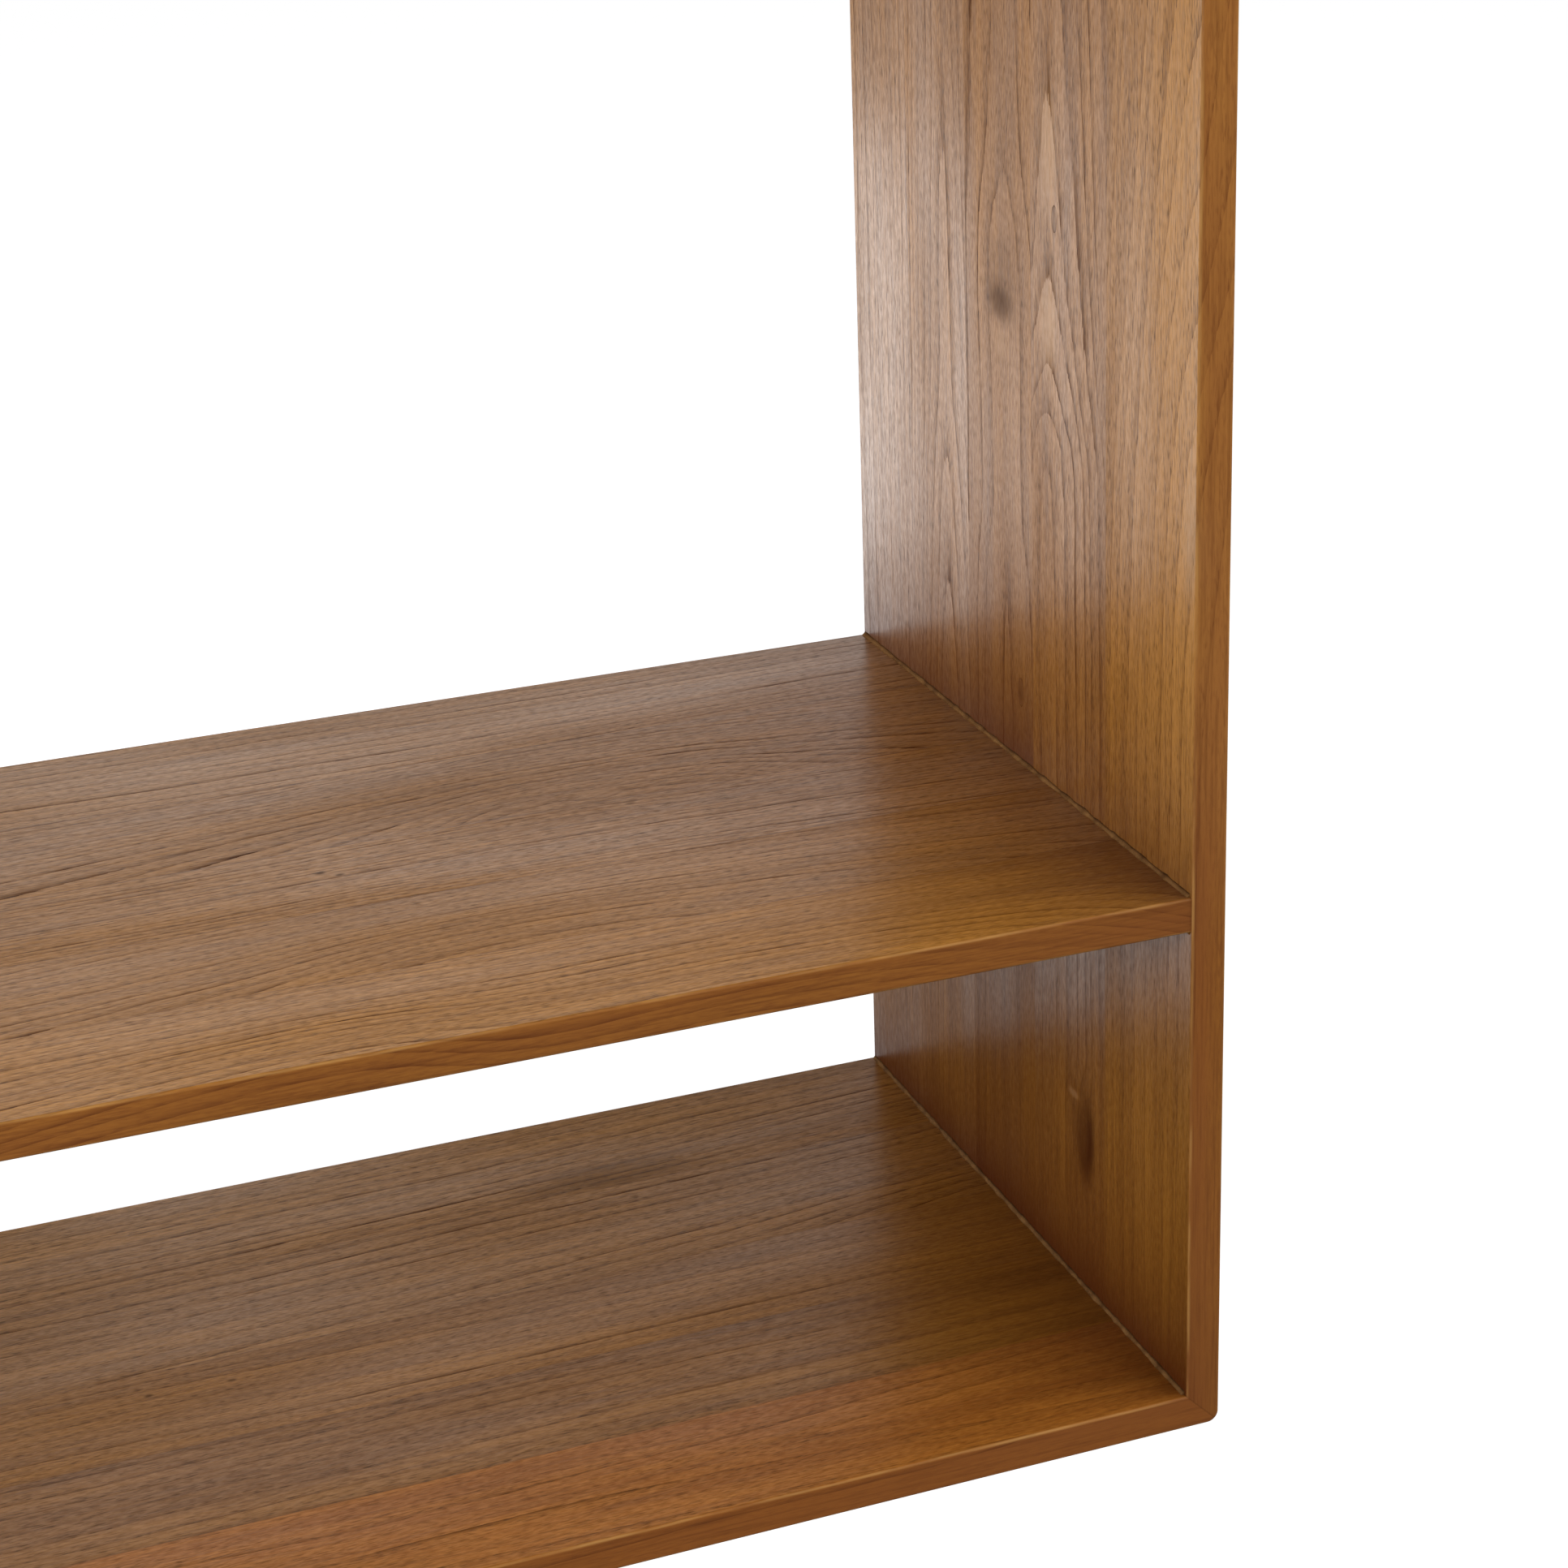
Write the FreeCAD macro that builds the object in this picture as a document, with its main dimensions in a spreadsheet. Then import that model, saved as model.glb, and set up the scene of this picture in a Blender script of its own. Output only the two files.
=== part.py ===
# Open-backed wall shelf in edge-glued teak: four boards mitred into a case, and one fixed shelf.
# Millimetres. +X is to the right, +Y into the wall and +Z up. The origin lies on the wall plane,
# midway between the two keyholes that the shelf hangs from.
import FreeCAD
import Part
import Sketcher
import math
import os

# Driving sizes
# The staves of a flat board run left to right, and those of an upright board run up and down.
# The fourth and the rear stave of a board share what the other three leave of the depth.
SIZES = (
    ("overall_width", 800, "case, outside, left to right"),
    ("overall_height", 700, "case, outside, bottom to top"),
    ("overall_depth", 350, "case, front edge to wall"),
    ("board_thickness", 15, "every board"),
    ("lower_clear", 212, "room between the bottom and the shelf"),
    ("shelf_setback", 1, "front edge of the shelf behind the front edges of the sides"),
    ("corner_round", 5, "radius of the outer corners of the case"),
    ("arris_round", 1.2, "radius of the eased arrises along the front and rear edges"),
    ("flat_front_stave", 68, "width of the front stave of a flat board"),
    ("flat_second_stave", 65, "width of the second stave of a flat board"),
    ("flat_middle_stave", 64, "width of the middle stave of a flat board"),
    ("upright_front_stave", 80, "width of the front stave of a side"),
    ("upright_second_stave", 72, "width of the second stave of a side"),
    ("upright_middle_stave", 68, "width of the middle stave of a side"),
    ("spline_width", 11, "loose spline, across the mitre"),
    ("spline_thickness", 3, "loose spline, along the mitre"),
    ("spline_inset", 7, "inner corner of a mitre to the middle of its spline"),
    ("spline_stop", 20, "end of a spline groove from the front or rear edge"),
    ("spline_gap", 0.1, "room for glue across the thickness of a spline"),
    ("spline_end_gap", 0.5, "room at each edge and each end of a spline"),
    ("dowel_diameter", 6, "shelf dowel"),
    ("dowel_length", 24, "shelf dowel"),
    ("dowel_in_side", 9, "length of a dowel that enters the side"),
    ("dowel_chamfer", 0.8, "bevel on the ends of a dowel"),
    ("dowel_gap", 0.1, "room for glue on the diameter of a dowel"),
    ("dowel_end_gap", 1, "room past each end of a dowel"),
    ("hanger_drop", 90, "top of the case to the middle of a keyhole's round entry"),
    ("plate_width", 11, "hanger plate"),
    ("plate_thickness", 1.5, "hanger plate"),
    ("plate_end", 7, "screw of a hanger plate to the end of the plate"),
    ("plate_gap", 0.2, "room all round a hanger plate in its recess"),
    ("keyhole_entry", 8, "diameter of a keyhole's round entry"),
    ("keyhole_slot", 4.2, "width of a keyhole's slot"),
    ("keyhole_rise", 11, "middle of the round entry to the middle of the slot's top end"),
    ("head_room", 1, "extra width of the pocket for a wall screw's head behind a plate"),
    ("head_pocket", 10, "depth of that pocket from the wall plane"),
    ("screw_offset", 17.5, "end of a keyhole's rise to the next screw of its plate"),
    ("screw_diameter", 3, "hanger screw"),
    ("sink_rim", 0.3, "plate left under the countersunk head of a hanger screw"),
    ("screw_length", 16, "hanger screw, head included"),
    ("screw_point", 3, "length of a hanger screw's point"),
    ("screw_gap", 0.2, "room on the diameter of a hanger screw"),
)

# Places worked out from the sizes
SET_STAVES = ("front", "second", "middle")
STAVES = SET_STAVES + ("fourth", "rear")
CASE_TOP = "Sizes.hanger_drop"
CASE_FOOT = "(Sizes.hanger_drop - Sizes.overall_height)"
CASE_MIDDLE = "(Sizes.hanger_drop - Sizes.overall_height / 2)"
CASE_FRONT = "(0 - Sizes.overall_depth)"
INNER_HALF = "(Sizes.overall_width / 2 - Sizes.board_thickness)"
SHELF_LENGTH = "(Sizes.overall_width - 2 * Sizes.board_thickness)"
SHELF_TOP = f"({CASE_FOOT} + 2 * Sizes.board_thickness + Sizes.lower_clear)"
SHELF_MIDDLE = f"({SHELF_TOP} - Sizes.board_thickness / 2)"
SIDE_CENTRE = "(Sizes.overall_width / 2 - Sizes.board_thickness / 2)"
PLATE_MIDDLE = "(Sizes.keyhole_rise / 2)"
SPLINE_SHIFT = "(Sizes.spline_inset / sqrt(2))"
HEAD_POCKET_WIDTH = "(Sizes.keyhole_entry + Sizes.head_room)"
SCREW_HOLE = "(Sizes.screw_diameter + Sizes.screw_gap)"
SCREW_REACH = "(Sizes.keyhole_rise / 2 + Sizes.screw_offset)"
PLATE_LENGTH = f"(2 * ({SCREW_REACH} + Sizes.plate_end))"
HEAD_HEIGHT = "(Sizes.plate_thickness - Sizes.sink_rim)"

# Directions and angles
RIGHT = FreeCAD.Vector(1, 0, 0)
WALL = FreeCAD.Vector(0, 1, 0)
UP = FreeCAD.Vector(0, 0, 1)
LEFT = RIGHT.negative()
DOWN = UP.negative()
FULL_TURN = 2 * math.pi
RIGHT_ANGLE = math.pi / 2
MITRE = RIGHT_ANGLE / 2

# Numbers by which a sketch knows the points of a line or an arc, and its own axes and origin
START, END, CENTRE = range(1, 4)
SKETCH_Y, SKETCH_X = range(-2, 0)
SKETCH_ORIGIN = (SKETCH_X, START)

NEAR = 1e-6

doc = FreeCAD.newDocument("wall_shelf")
sheet = doc.addObject("Spreadsheet::Sheet", "Sizes")
for row, (alias, number, meaning) in enumerate(SIZES, start=1):
    sheet.set(f"A{row}", meaning)
    sheet.set(f"B{row}", str(number))
    sheet.setAlias(f"B{row}", alias)
doc.recompute()


# Helpers for sketches and features
def value(expression):
    """What an expression of the sheet's sizes comes to."""
    return float(sheet.evalExpression(expression))


def point(x, y):
    return FreeCAD.Vector(x, y, 0)


def line(sketch, start, end):
    return sketch.addGeometry(Part.LineSegment(start, end))


def arc(sketch, centre, radius, first, last):
    """An arc that runs anticlockwise between two angles."""
    return sketch.addGeometry(Part.ArcOfCircle(Part.Circle(centre, UP, radius), first, last))


def bind(sketch, name, expression, kind, *items):
    """A dimension of a sketch that follows the sheet."""
    index = sketch.addConstraint(Sketcher.Constraint(kind, *items, value(expression)))
    sketch.renameConstraint(index, name)
    sketch.setExpression(f"Constraints.{name}", expression)


def relate(sketch, *relations):
    for relation in relations:
        sketch.addConstraint(Sketcher.Constraint(*relation))


def board_frame(along):
    """A frame whose X axis runs along the board, Y to the wall and Z out of its inner face."""
    return FreeCAD.Rotation(along, WALL, along.cross(WALL), "XYZ")


def make_body(label, base, frame):
    """A piece with a frame of its own, placed by three expressions."""
    body = doc.addObject("PartDesign::Body", label)
    body.Label = label
    body.Placement = FreeCAD.Placement(FreeCAD.Vector(), frame)
    for letter, expression in zip("xyz", base):
        body.setExpression(f"Placement.Base.{letter}", expression)
    return body


def origin_plane(body, role):
    return next(item for item in body.Origin.OriginFeatures if item.Role == role)


def make_sketch(body, name, role, offset=("0", "0", "0"), turn=0):
    """A sketch on one of the body's own planes, shifted and turned in that plane."""
    sketch = body.newObject("Sketcher::SketchObject", name)
    sketch.AttachmentSupport = [(origin_plane(body, role), "")]
    sketch.MapMode = "FlatFace"
    rotation = FreeCAD.Rotation(UP, math.degrees(turn))
    sketch.AttachmentOffset = FreeCAD.Placement(FreeCAD.Vector(), rotation)
    for letter, expression in zip("xyz", offset):
        sketch.setExpression(f"AttachmentOffset.Base.{letter}", expression)
    return sketch


def add_pad(body, sketch, length, towards_wall):
    pad = body.newObject("PartDesign::Pad", "Pad")
    pad.Profile = sketch
    pad.Reversed = towards_wall
    pad.setExpression("Length", length)
    doc.recompute()


def add_pocket(body, sketch, depth, reverse=False):
    """A pocket of the given depth, or right through where the depth is None."""
    before = body.Tip.Shape.Volume
    pocket = body.newObject("PartDesign::Pocket", "Pocket")
    pocket.Profile = sketch
    pocket.Reversed = reverse
    if depth is None:
        pocket.Type = "ThroughAll"
    else:
        pocket.setExpression("Length", depth)
    doc.recompute()
    if pocket.Shape.Volume > before - NEAR:
        raise RuntimeError(f"{body.Label}: {sketch.Name} cuts nothing")
    return pocket


def add_mirror(body, feature):
    """The same cut at the other end of the piece."""
    before = body.Tip.Shape.Volume
    mirror = body.newObject("PartDesign::Mirrored", "Mirrored")
    mirror.Originals = [feature]
    mirror.MirrorPlane = (origin_plane(body, "YZ_Plane"), [""])
    body.Tip = mirror
    doc.recompute()
    if mirror.Shape.Volume > before - NEAR:
        raise RuntimeError(f"{body.Label}: the mirrored cut cuts nothing")


def add_bore(body, name, role, offset, diameter, depth, reverse=False):
    """A round blind hole."""
    sketch = make_sketch(body, name, role, offset)
    rim = sketch.addGeometry(Part.Circle(point(0, 0), UP, value(diameter) / 2))
    relate(sketch, ("Coincident", rim, CENTRE, *SKETCH_ORIGIN))
    bind(sketch, "bore", diameter, "Diameter", rim)
    return add_pocket(body, sketch, depth, reverse)


def ease_arrises(body, edge_y):
    """Rounds the long arrises of the front or rear edge, up to the ends of the board."""
    base = body.Tip
    names = []
    for number, edge in enumerate(base.Shape.Edges, start=1):
        box = edge.BoundBox
        at_edge = abs(box.YMin - edge_y) < NEAR and abs(box.YMax - edge_y) < NEAR
        along = box.ZLength < NEAR or isinstance(edge.Curve, Part.Circle)
        if at_edge and along:
            names.append(f"Edge{number}")
    fillet = body.newObject("PartDesign::Fillet", "Arrises")
    fillet.Base = (base, names)
    fillet.setExpression("Radius", "Sizes.arris_round")
    doc.recompute()


# Outlines
def rectangle(sketch, width, height):
    """A rectangle centred on the sketch's origin."""
    x = value(width) / 2
    y = value(height) / 2
    corners = (point(-x, -y), point(x, -y), point(x, y), point(-x, y))
    sides = [line(sketch, corners[i], corners[(i + 1) % len(corners)]) for i in range(len(corners))]
    foot, right, head, left = sides
    for side, following in zip(sides, sides[1:] + sides[:1]):
        relate(sketch, ("Coincident", side, END, following, START))
    relate(
        sketch,
        ("Horizontal", foot),
        ("Vertical", right),
        ("Horizontal", head),
        ("Vertical", left),
        ("Symmetric", foot, START, head, START, *SKETCH_ORIGIN),
    )
    bind(sketch, "width", width, "DistanceX", foot, START, foot, END)
    bind(sketch, "height", height, "DistanceY", right, START, right, END)


def stadium(sketch, length, width):
    """A slot with round ends, centred on the sketch's origin, its length along X."""
    radius = value(width) / 2
    reach = value(length) / 2 - radius
    lower = line(sketch, point(-reach, -radius), point(reach, -radius))
    right = arc(sketch, point(reach, 0), radius, -RIGHT_ANGLE, RIGHT_ANGLE)
    upper = line(sketch, point(reach, radius), point(-reach, radius))
    left = arc(sketch, point(-reach, 0), radius, RIGHT_ANGLE, FULL_TURN - RIGHT_ANGLE)
    relate(
        sketch,
        ("Tangent", lower, END, right, START),
        ("Tangent", right, END, upper, START),
        ("Tangent", upper, END, left, START),
        ("Tangent", left, END, lower, START),
        ("Equal", right, left),
        ("Horizontal", lower),
        ("Symmetric", right, CENTRE, left, CENTRE, *SKETCH_ORIGIN),
    )
    bind(sketch, "round_end", f"{width} / 2", "Radius", right)
    bind(sketch, "reach", f"{length} - {width}", "DistanceX", left, CENTRE, right, CENTRE)


def keyhole(sketch):
    """A round entry and a narrower slot that rises from it along X."""
    entry = value("Sizes.keyhole_entry") / 2
    slot = value("Sizes.keyhole_slot") / 2
    rise = value("Sizes.keyhole_rise") / 2
    mouth = math.sqrt(entry**2 - slot**2) - rise
    opening = math.asin(slot / entry)
    bowl = arc(sketch, point(-rise, 0), entry, opening, FULL_TURN - opening)
    lower = line(sketch, point(mouth, -slot), point(rise, -slot))
    cap = arc(sketch, point(rise, 0), slot, -RIGHT_ANGLE, RIGHT_ANGLE)
    upper = line(sketch, point(rise, slot), point(mouth, slot))
    relate(
        sketch,
        ("Coincident", bowl, END, lower, START),
        ("Tangent", lower, END, cap, START),
        ("Tangent", cap, END, upper, START),
        ("Coincident", upper, END, bowl, START),
        ("Horizontal", lower),
        ("Horizontal", upper),
        ("Symmetric", bowl, CENTRE, cap, CENTRE, *SKETCH_ORIGIN),
        ("PointOnObject", cap, CENTRE, SKETCH_X),
    )
    bind(sketch, "entry", "Sizes.keyhole_entry / 2", "Radius", bowl)
    bind(sketch, "slot", "Sizes.keyhole_slot / 2", "Radius", cap)
    bind(sketch, "rise", "Sizes.keyhole_rise", "DistanceX", bowl, CENTRE, cap, CENTRE)


def mitred_profile(sketch, length):
    """A board seen from its edge: inner face on the X axis, ends mitred, outer corners rounded.

    A mitre line runs through the centre of its corner's arc, so that the two boards that meet
    there carry half of the round each.
    """
    half = value(length) / 2
    thick = value("Sizes.board_thickness")
    bend = value("Sizes.corner_round")
    tip = bend * (1 - math.cos(MITRE))
    inner = line(sketch, point(thick - half, 0), point(half - thick, 0))
    right_mitre = line(sketch, point(half - thick, 0), point(half - tip, tip - thick))
    right_corner = arc(sketch, point(half - bend, bend - thick), bend, -RIGHT_ANGLE, -MITRE)
    outer = line(sketch, point(half - bend, -thick), point(bend - half, -thick))
    left_corner = arc(sketch, point(bend - half, bend - thick), bend, -RIGHT_ANGLE - MITRE, -RIGHT_ANGLE)
    left_mitre = line(sketch, point(tip - half, tip - thick), point(thick - half, 0))
    relate(
        sketch,
        ("Coincident", inner, END, right_mitre, START),
        ("Coincident", right_mitre, END, right_corner, END),
        ("Tangent", outer, START, right_corner, START),
        ("Tangent", outer, END, left_corner, END),
        ("Coincident", left_corner, START, left_mitre, START),
        ("Coincident", left_mitre, END, inner, START),
        ("PointOnObject", inner, START, SKETCH_X),
        ("Symmetric", inner, START, inner, END, SKETCH_Y),
        ("Horizontal", outer),
        ("PointOnObject", right_corner, CENTRE, right_mitre),
        ("PointOnObject", left_corner, CENTRE, left_mitre),
        ("Angle", right_mitre, -MITRE),
        ("Angle", left_mitre, MITRE),
        ("Equal", right_corner, left_corner),
    )
    bind(sketch, "corner", "Sizes.corner_round", "Radius", right_corner)
    bind(sketch, "clear", f"{length} - 2 * Sizes.board_thickness", "DistanceX", inner, START, inner, END)
    bind(sketch, "thick", "Sizes.board_thickness", "DistanceY", outer, START, *SKETCH_ORIGIN)


def turned_profile(sketch, outline):
    """Half of a turned piece: radius and distance along the axis for each corner, in order."""
    spots = [point(value(radius), value(along)) for radius, along in outline]
    count = len(spots)
    edges = [line(sketch, spots[i], spots[(i + 1) % count]) for i in range(count)]
    for edge, following in zip(edges, edges[1:] + edges[:1]):
        relate(sketch, ("Coincident", edge, END, following, START))
    for number, (edge, (radius, along)) in enumerate(zip(edges, outline)):
        bind(sketch, f"radius_{number}", radius, "DistanceX", *SKETCH_ORIGIN, edge, START)
        bind(sketch, f"along_{number}", along, "DistanceY", *SKETCH_ORIGIN, edge, START)


def turn_piece(label, base, outline, along):
    """A round piece turned about the Y axis of its own frame, which then points along a direction."""
    body = make_body(label, base, FreeCAD.Rotation(WALL, along))
    sketch = make_sketch(body, "HalfProfile", "XY_Plane")
    turned_profile(sketch, outline)
    piece = body.newObject("PartDesign::Revolution", "Turning")
    piece.Profile = sketch
    piece.ReferenceAxis = (sketch, ["V_Axis"])
    doc.recompute()
    return body


def group(label, pieces):
    """Identical pieces that share one node."""
    compound = doc.addObject("Part::Compound", label)
    compound.Label = label
    compound.Links = pieces
    doc.recompute()
    return compound


# Edge-glued boards
def glue_lines(run):
    """Distances from the front of the case to the edges of a board's staves, front to rear."""
    places = ["0"]
    for stave in SET_STAVES:
        places.append(f"{places[-1]} + Sizes.{run}_{stave}_stave")
    places.append(f"({places[-1]} + Sizes.overall_depth) / 2")
    return places + ["Sizes.overall_depth"]


FLAT_LINES = glue_lines("flat")
UPRIGHT_LINES = glue_lines("upright")


def dowel_place(index):
    """Distance of a dowel from the front: the middle of what a shelf stave and a side stave share."""
    near = f"max({FLAT_LINES[index]}, {UPRIGHT_LINES[index]})"
    far = f"min({FLAT_LINES[index + 1]}, {UPRIGHT_LINES[index + 1]})"
    return f"(({near}) + ({far})) / 2"


def ease_outer_staves(body, index, width):
    if STAVES[index] == "front":
        ease_arrises(body, 0)
    if STAVES[index] == "rear":
        ease_arrises(body, value(width))


def cut_spline_grooves(body, index, length, width):
    """The groove for a loose spline in both mitres, stopped near the front and rear edges."""
    along = f"{length} / 2 - Sizes.board_thickness + {SPLINE_SHIFT}"
    start = "Sizes.spline_stop" if STAVES[index] == "front" else "0"
    depth = f"({width}) - Sizes.spline_stop" if STAVES[index] == "rear" else None
    offset = (along, f"0 - {SPLINE_SHIFT}", f"0 - {start}")
    sketch = make_sketch(body, "SplineGroove", "XZ_Plane", offset, MITRE)
    rectangle(
        sketch,
        "Sizes.spline_width + 2 * Sizes.spline_end_gap",
        "Sizes.spline_thickness + Sizes.spline_gap",
    )
    add_mirror(body, add_pocket(body, sketch, depth))


def mitred_board(name, run, along, base_x, base_z, length):
    """The five staves of one board of the case, in a frame whose X axis runs along the board."""
    places = glue_lines(run)
    staves = []
    for index, stave in enumerate(STAVES):
        width = f"({places[index + 1]}) - ({places[index]})"
        base = (base_x, f"{CASE_FRONT} + {places[index]}", base_z)
        body = make_body(f"{name}_{stave}_stave", base, board_frame(along))
        sketch = make_sketch(body, "Profile", "XZ_Plane")
        mitred_profile(sketch, length)
        add_pad(body, sketch, width, towards_wall=True)
        ease_outer_staves(body, index, width)
        cut_spline_grooves(body, index, length, width)
        staves.append(body)
    return staves


def flat_board(name, along, level):
    return mitred_board(name, "flat", along, "0", level, "Sizes.overall_width")


def upright_board(name, along, side):
    return mitred_board(name, "upright", along, side, CASE_MIDDLE, "Sizes.overall_height")


def bore_side(staves, up):
    """Dowel holes in the inner face of a side. up is 1 where the board's X axis points up."""
    along = f"{up} * ({SHELF_MIDDLE} - {CASE_MIDDLE})"
    depth = "Sizes.dowel_in_side + Sizes.dowel_end_gap"
    for index, body in enumerate(staves):
        offset = (along, f"{dowel_place(index)} - ({UPRIGHT_LINES[index]})", "0")
        add_bore(body, "DowelHole", "XY_Plane", offset, "Sizes.dowel_diameter + Sizes.dowel_gap", depth)


def cut_hanger_seat(body, up):
    """The recess for a hanger plate, the pocket behind its keyhole and the holes for its screws."""
    centre = "0 - Sizes.board_thickness / 2"
    rear = f"0 - (Sizes.overall_depth - ({UPRIGHT_LINES[-2]}))"
    along = f"{up} * ({PLATE_MIDDLE} - {CASE_MIDDLE})"
    recess = make_sketch(body, "PlateRecess", "XZ_Plane", (along, centre, rear))
    stadium(
        recess,
        f"({PLATE_LENGTH} + 2 * Sizes.plate_gap)",
        "(Sizes.plate_width + 2 * Sizes.plate_gap)",
    )
    add_pocket(body, recess, "Sizes.plate_thickness", reverse=True)
    head = make_sketch(body, "HeadPocket", "XZ_Plane", (along, centre, rear))
    stadium(head, f"(Sizes.keyhole_rise + {HEAD_POCKET_WIDTH})", HEAD_POCKET_WIDTH)
    add_pocket(body, head, "Sizes.head_pocket", reverse=True)
    for sign in ("+", "-"):
        spot = (f"{along} {sign} {SCREW_REACH}", centre, rear)
        depth = "Sizes.screw_length + Sizes.screw_gap"
        add_bore(body, "ScrewHole", "XZ_Plane", spot, SCREW_HOLE, depth, reverse=True)


def shelf_board():
    """The five staves of the shelf, which butt against the inner faces of the sides."""
    staves = []
    for index, stave in enumerate(STAVES):
        front = "Sizes.shelf_setback" if stave == "front" else FLAT_LINES[index]
        width = f"({FLAT_LINES[index + 1]}) - ({front})"
        base = ("0", f"{CASE_FRONT} + {front}", SHELF_MIDDLE)
        body = make_body(f"shelf_{stave}_stave", base, board_frame(RIGHT))
        sketch = make_sketch(body, "Profile", "XZ_Plane")
        rectangle(sketch, SHELF_LENGTH, "Sizes.board_thickness")
        add_pad(body, sketch, width, towards_wall=True)
        ease_outer_staves(body, index, width)
        offset = (f"{dowel_place(index)} - ({front})", "0", f"{SHELF_LENGTH} / 2")
        depth = "Sizes.dowel_length - Sizes.dowel_in_side + Sizes.dowel_end_gap"
        diameter = "Sizes.dowel_diameter + Sizes.dowel_gap"
        add_mirror(body, add_bore(body, "DowelHole", "YZ_Plane", offset, diameter, depth))
        staves.append(body)
    return staves


# Joinery and hardware
def mitre_spline(name, side, level):
    """A loose spline across one mitre. side and level are the signs of its corner."""
    inner_half_height = "(Sizes.overall_height / 2 - Sizes.board_thickness)"
    base = (
        f"{side} * ({INNER_HALF} + {SPLINE_SHIFT})",
        f"{CASE_FRONT} + Sizes.spline_stop + Sizes.spline_end_gap",
        f"{CASE_MIDDLE} + {level} * ({inner_half_height} + {SPLINE_SHIFT})",
    )
    across = RIGHT * side - UP * level
    body = make_body(f"{name}_mitre_spline", base, board_frame(across.normalize()))
    sketch = make_sketch(body, "Section", "XZ_Plane")
    rectangle(sketch, "Sizes.spline_width", "Sizes.spline_thickness")
    length = "Sizes.overall_depth - 2 * (Sizes.spline_stop + Sizes.spline_end_gap)"
    add_pad(body, sketch, length, towards_wall=True)
    return body


def shelf_dowels(name, side):
    """Five dowels at one end of the shelf, each with its axis along X."""
    radius = "Sizes.dowel_diameter / 2"
    outline = (
        ("0", "0"),
        (f"{radius} - Sizes.dowel_chamfer", "0"),
        (radius, "Sizes.dowel_chamfer"),
        (radius, "Sizes.dowel_length - Sizes.dowel_chamfer"),
        (f"{radius} - Sizes.dowel_chamfer", "Sizes.dowel_length"),
        ("0", "Sizes.dowel_length"),
    )
    dowels = []
    for index, stave in enumerate(STAVES):
        start = f"{side} * ({INNER_HALF} - (Sizes.dowel_length - Sizes.dowel_in_side))"
        base = (start, f"{CASE_FRONT} + {dowel_place(index)}", SHELF_MIDDLE)
        dowels.append(turn_piece(f"{name}_{stave}_dowel", base, outline, RIGHT * side))
    return group(f"{name}_shelf_dowels", dowels)


def hanger_plate(name, side):
    """A steel plate with a keyhole and two countersunk screw holes, flush with the wall plane."""
    base = (f"{side} * {SIDE_CENTRE}", "0", PLATE_MIDDLE)
    body = make_body(f"{name}_hanger_plate", base, board_frame(UP))
    sketch = make_sketch(body, "Outline", "XZ_Plane")
    stadium(sketch, PLATE_LENGTH, "Sizes.plate_width")
    keyhole_sketch = make_sketch(body, "Keyhole", "XZ_Plane")
    keyhole(keyhole_sketch)
    add_pad(body, sketch, "Sizes.plate_thickness", towards_wall=False)
    add_pocket(body, keyhole_sketch, None, reverse=True)
    for sign in ("+", "-"):
        spot = (f"0 {sign} {SCREW_REACH}", "0", "0")
        add_bore(body, "ScrewHole", "XZ_Plane", spot, SCREW_HOLE, "Sizes.plate_thickness", reverse=True)
    base = body.Tip
    rims = []
    for number, edge in enumerate(base.Shape.Edges, start=1):
        whole = isinstance(edge.Curve, Part.Circle) and edge.isClosed()
        if whole and abs(edge.BoundBox.YMax) < NEAR and abs(edge.BoundBox.YMin) < NEAR:
            rims.append(f"Edge{number}")
    sink = body.newObject("PartDesign::Chamfer", "Countersinks")
    sink.Base = (base, rims)
    sink.setExpression("Size", HEAD_HEIGHT)
    doc.recompute()
    return body


def hanger_screws():
    """Four countersunk screws, with heads flush with the plates and points towards the front."""
    radius = "Sizes.screw_diameter / 2"
    outline = (
        ("0", "0"),
        (f"{radius} + {HEAD_HEIGHT}", "0"),
        (radius, f"0 - {HEAD_HEIGHT}"),
        (radius, "Sizes.screw_point - Sizes.screw_length"),
        ("0", "0 - Sizes.screw_length"),
    )
    screws = []
    for side_name, side in (("left", -1), ("right", 1)):
        for level_name, level in (("lower", -1), ("upper", 1)):
            base = (f"{side} * {SIDE_CENTRE}", "0", f"{PLATE_MIDDLE} + {level} * {SCREW_REACH}")
            screws.append(turn_piece(f"{side_name}_{level_name}_screw", base, outline, WALL))
    return group("hanger_screws", screws)


# The whole shelf
bottom = flat_board("bottom", RIGHT, f"{CASE_FOOT} + Sizes.board_thickness")
top = flat_board("top", LEFT, f"{CASE_TOP} - Sizes.board_thickness")
right_side = upright_board("right_side", UP, INNER_HALF)
left_side = upright_board("left_side", DOWN, f"0 - {INNER_HALF}")
for staves, up in ((right_side, 1), (left_side, -1)):
    bore_side(staves, up)
    cut_hanger_seat(staves[-1], up)
shelf = shelf_board()
splines = [
    mitre_spline("bottom_left", -1, -1),
    mitre_spline("bottom_right", 1, -1),
    mitre_spline("top_left", -1, 1),
    mitre_spline("top_right", 1, 1),
]
dowels = [shelf_dowels("left", -1), shelf_dowels("right", 1)]
plates = [hanger_plate("left", -1), hanger_plate("right", 1)]
pieces = bottom + top + right_side + left_side + shelf + splines + dowels + plates + [hanger_screws()]

# Every object is tested before anything is written
doc.recompute()
for item in doc.Objects:
    if "Invalid" in item.State or "Error" in item.State:
        raise RuntimeError(f"{item.Label} failed: {item.State}")
for piece in pieces:
    if piece.Shape.isNull() or not piece.Shape.isValid():
        raise RuntimeError(f"{piece.Label} has no valid shape")

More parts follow.
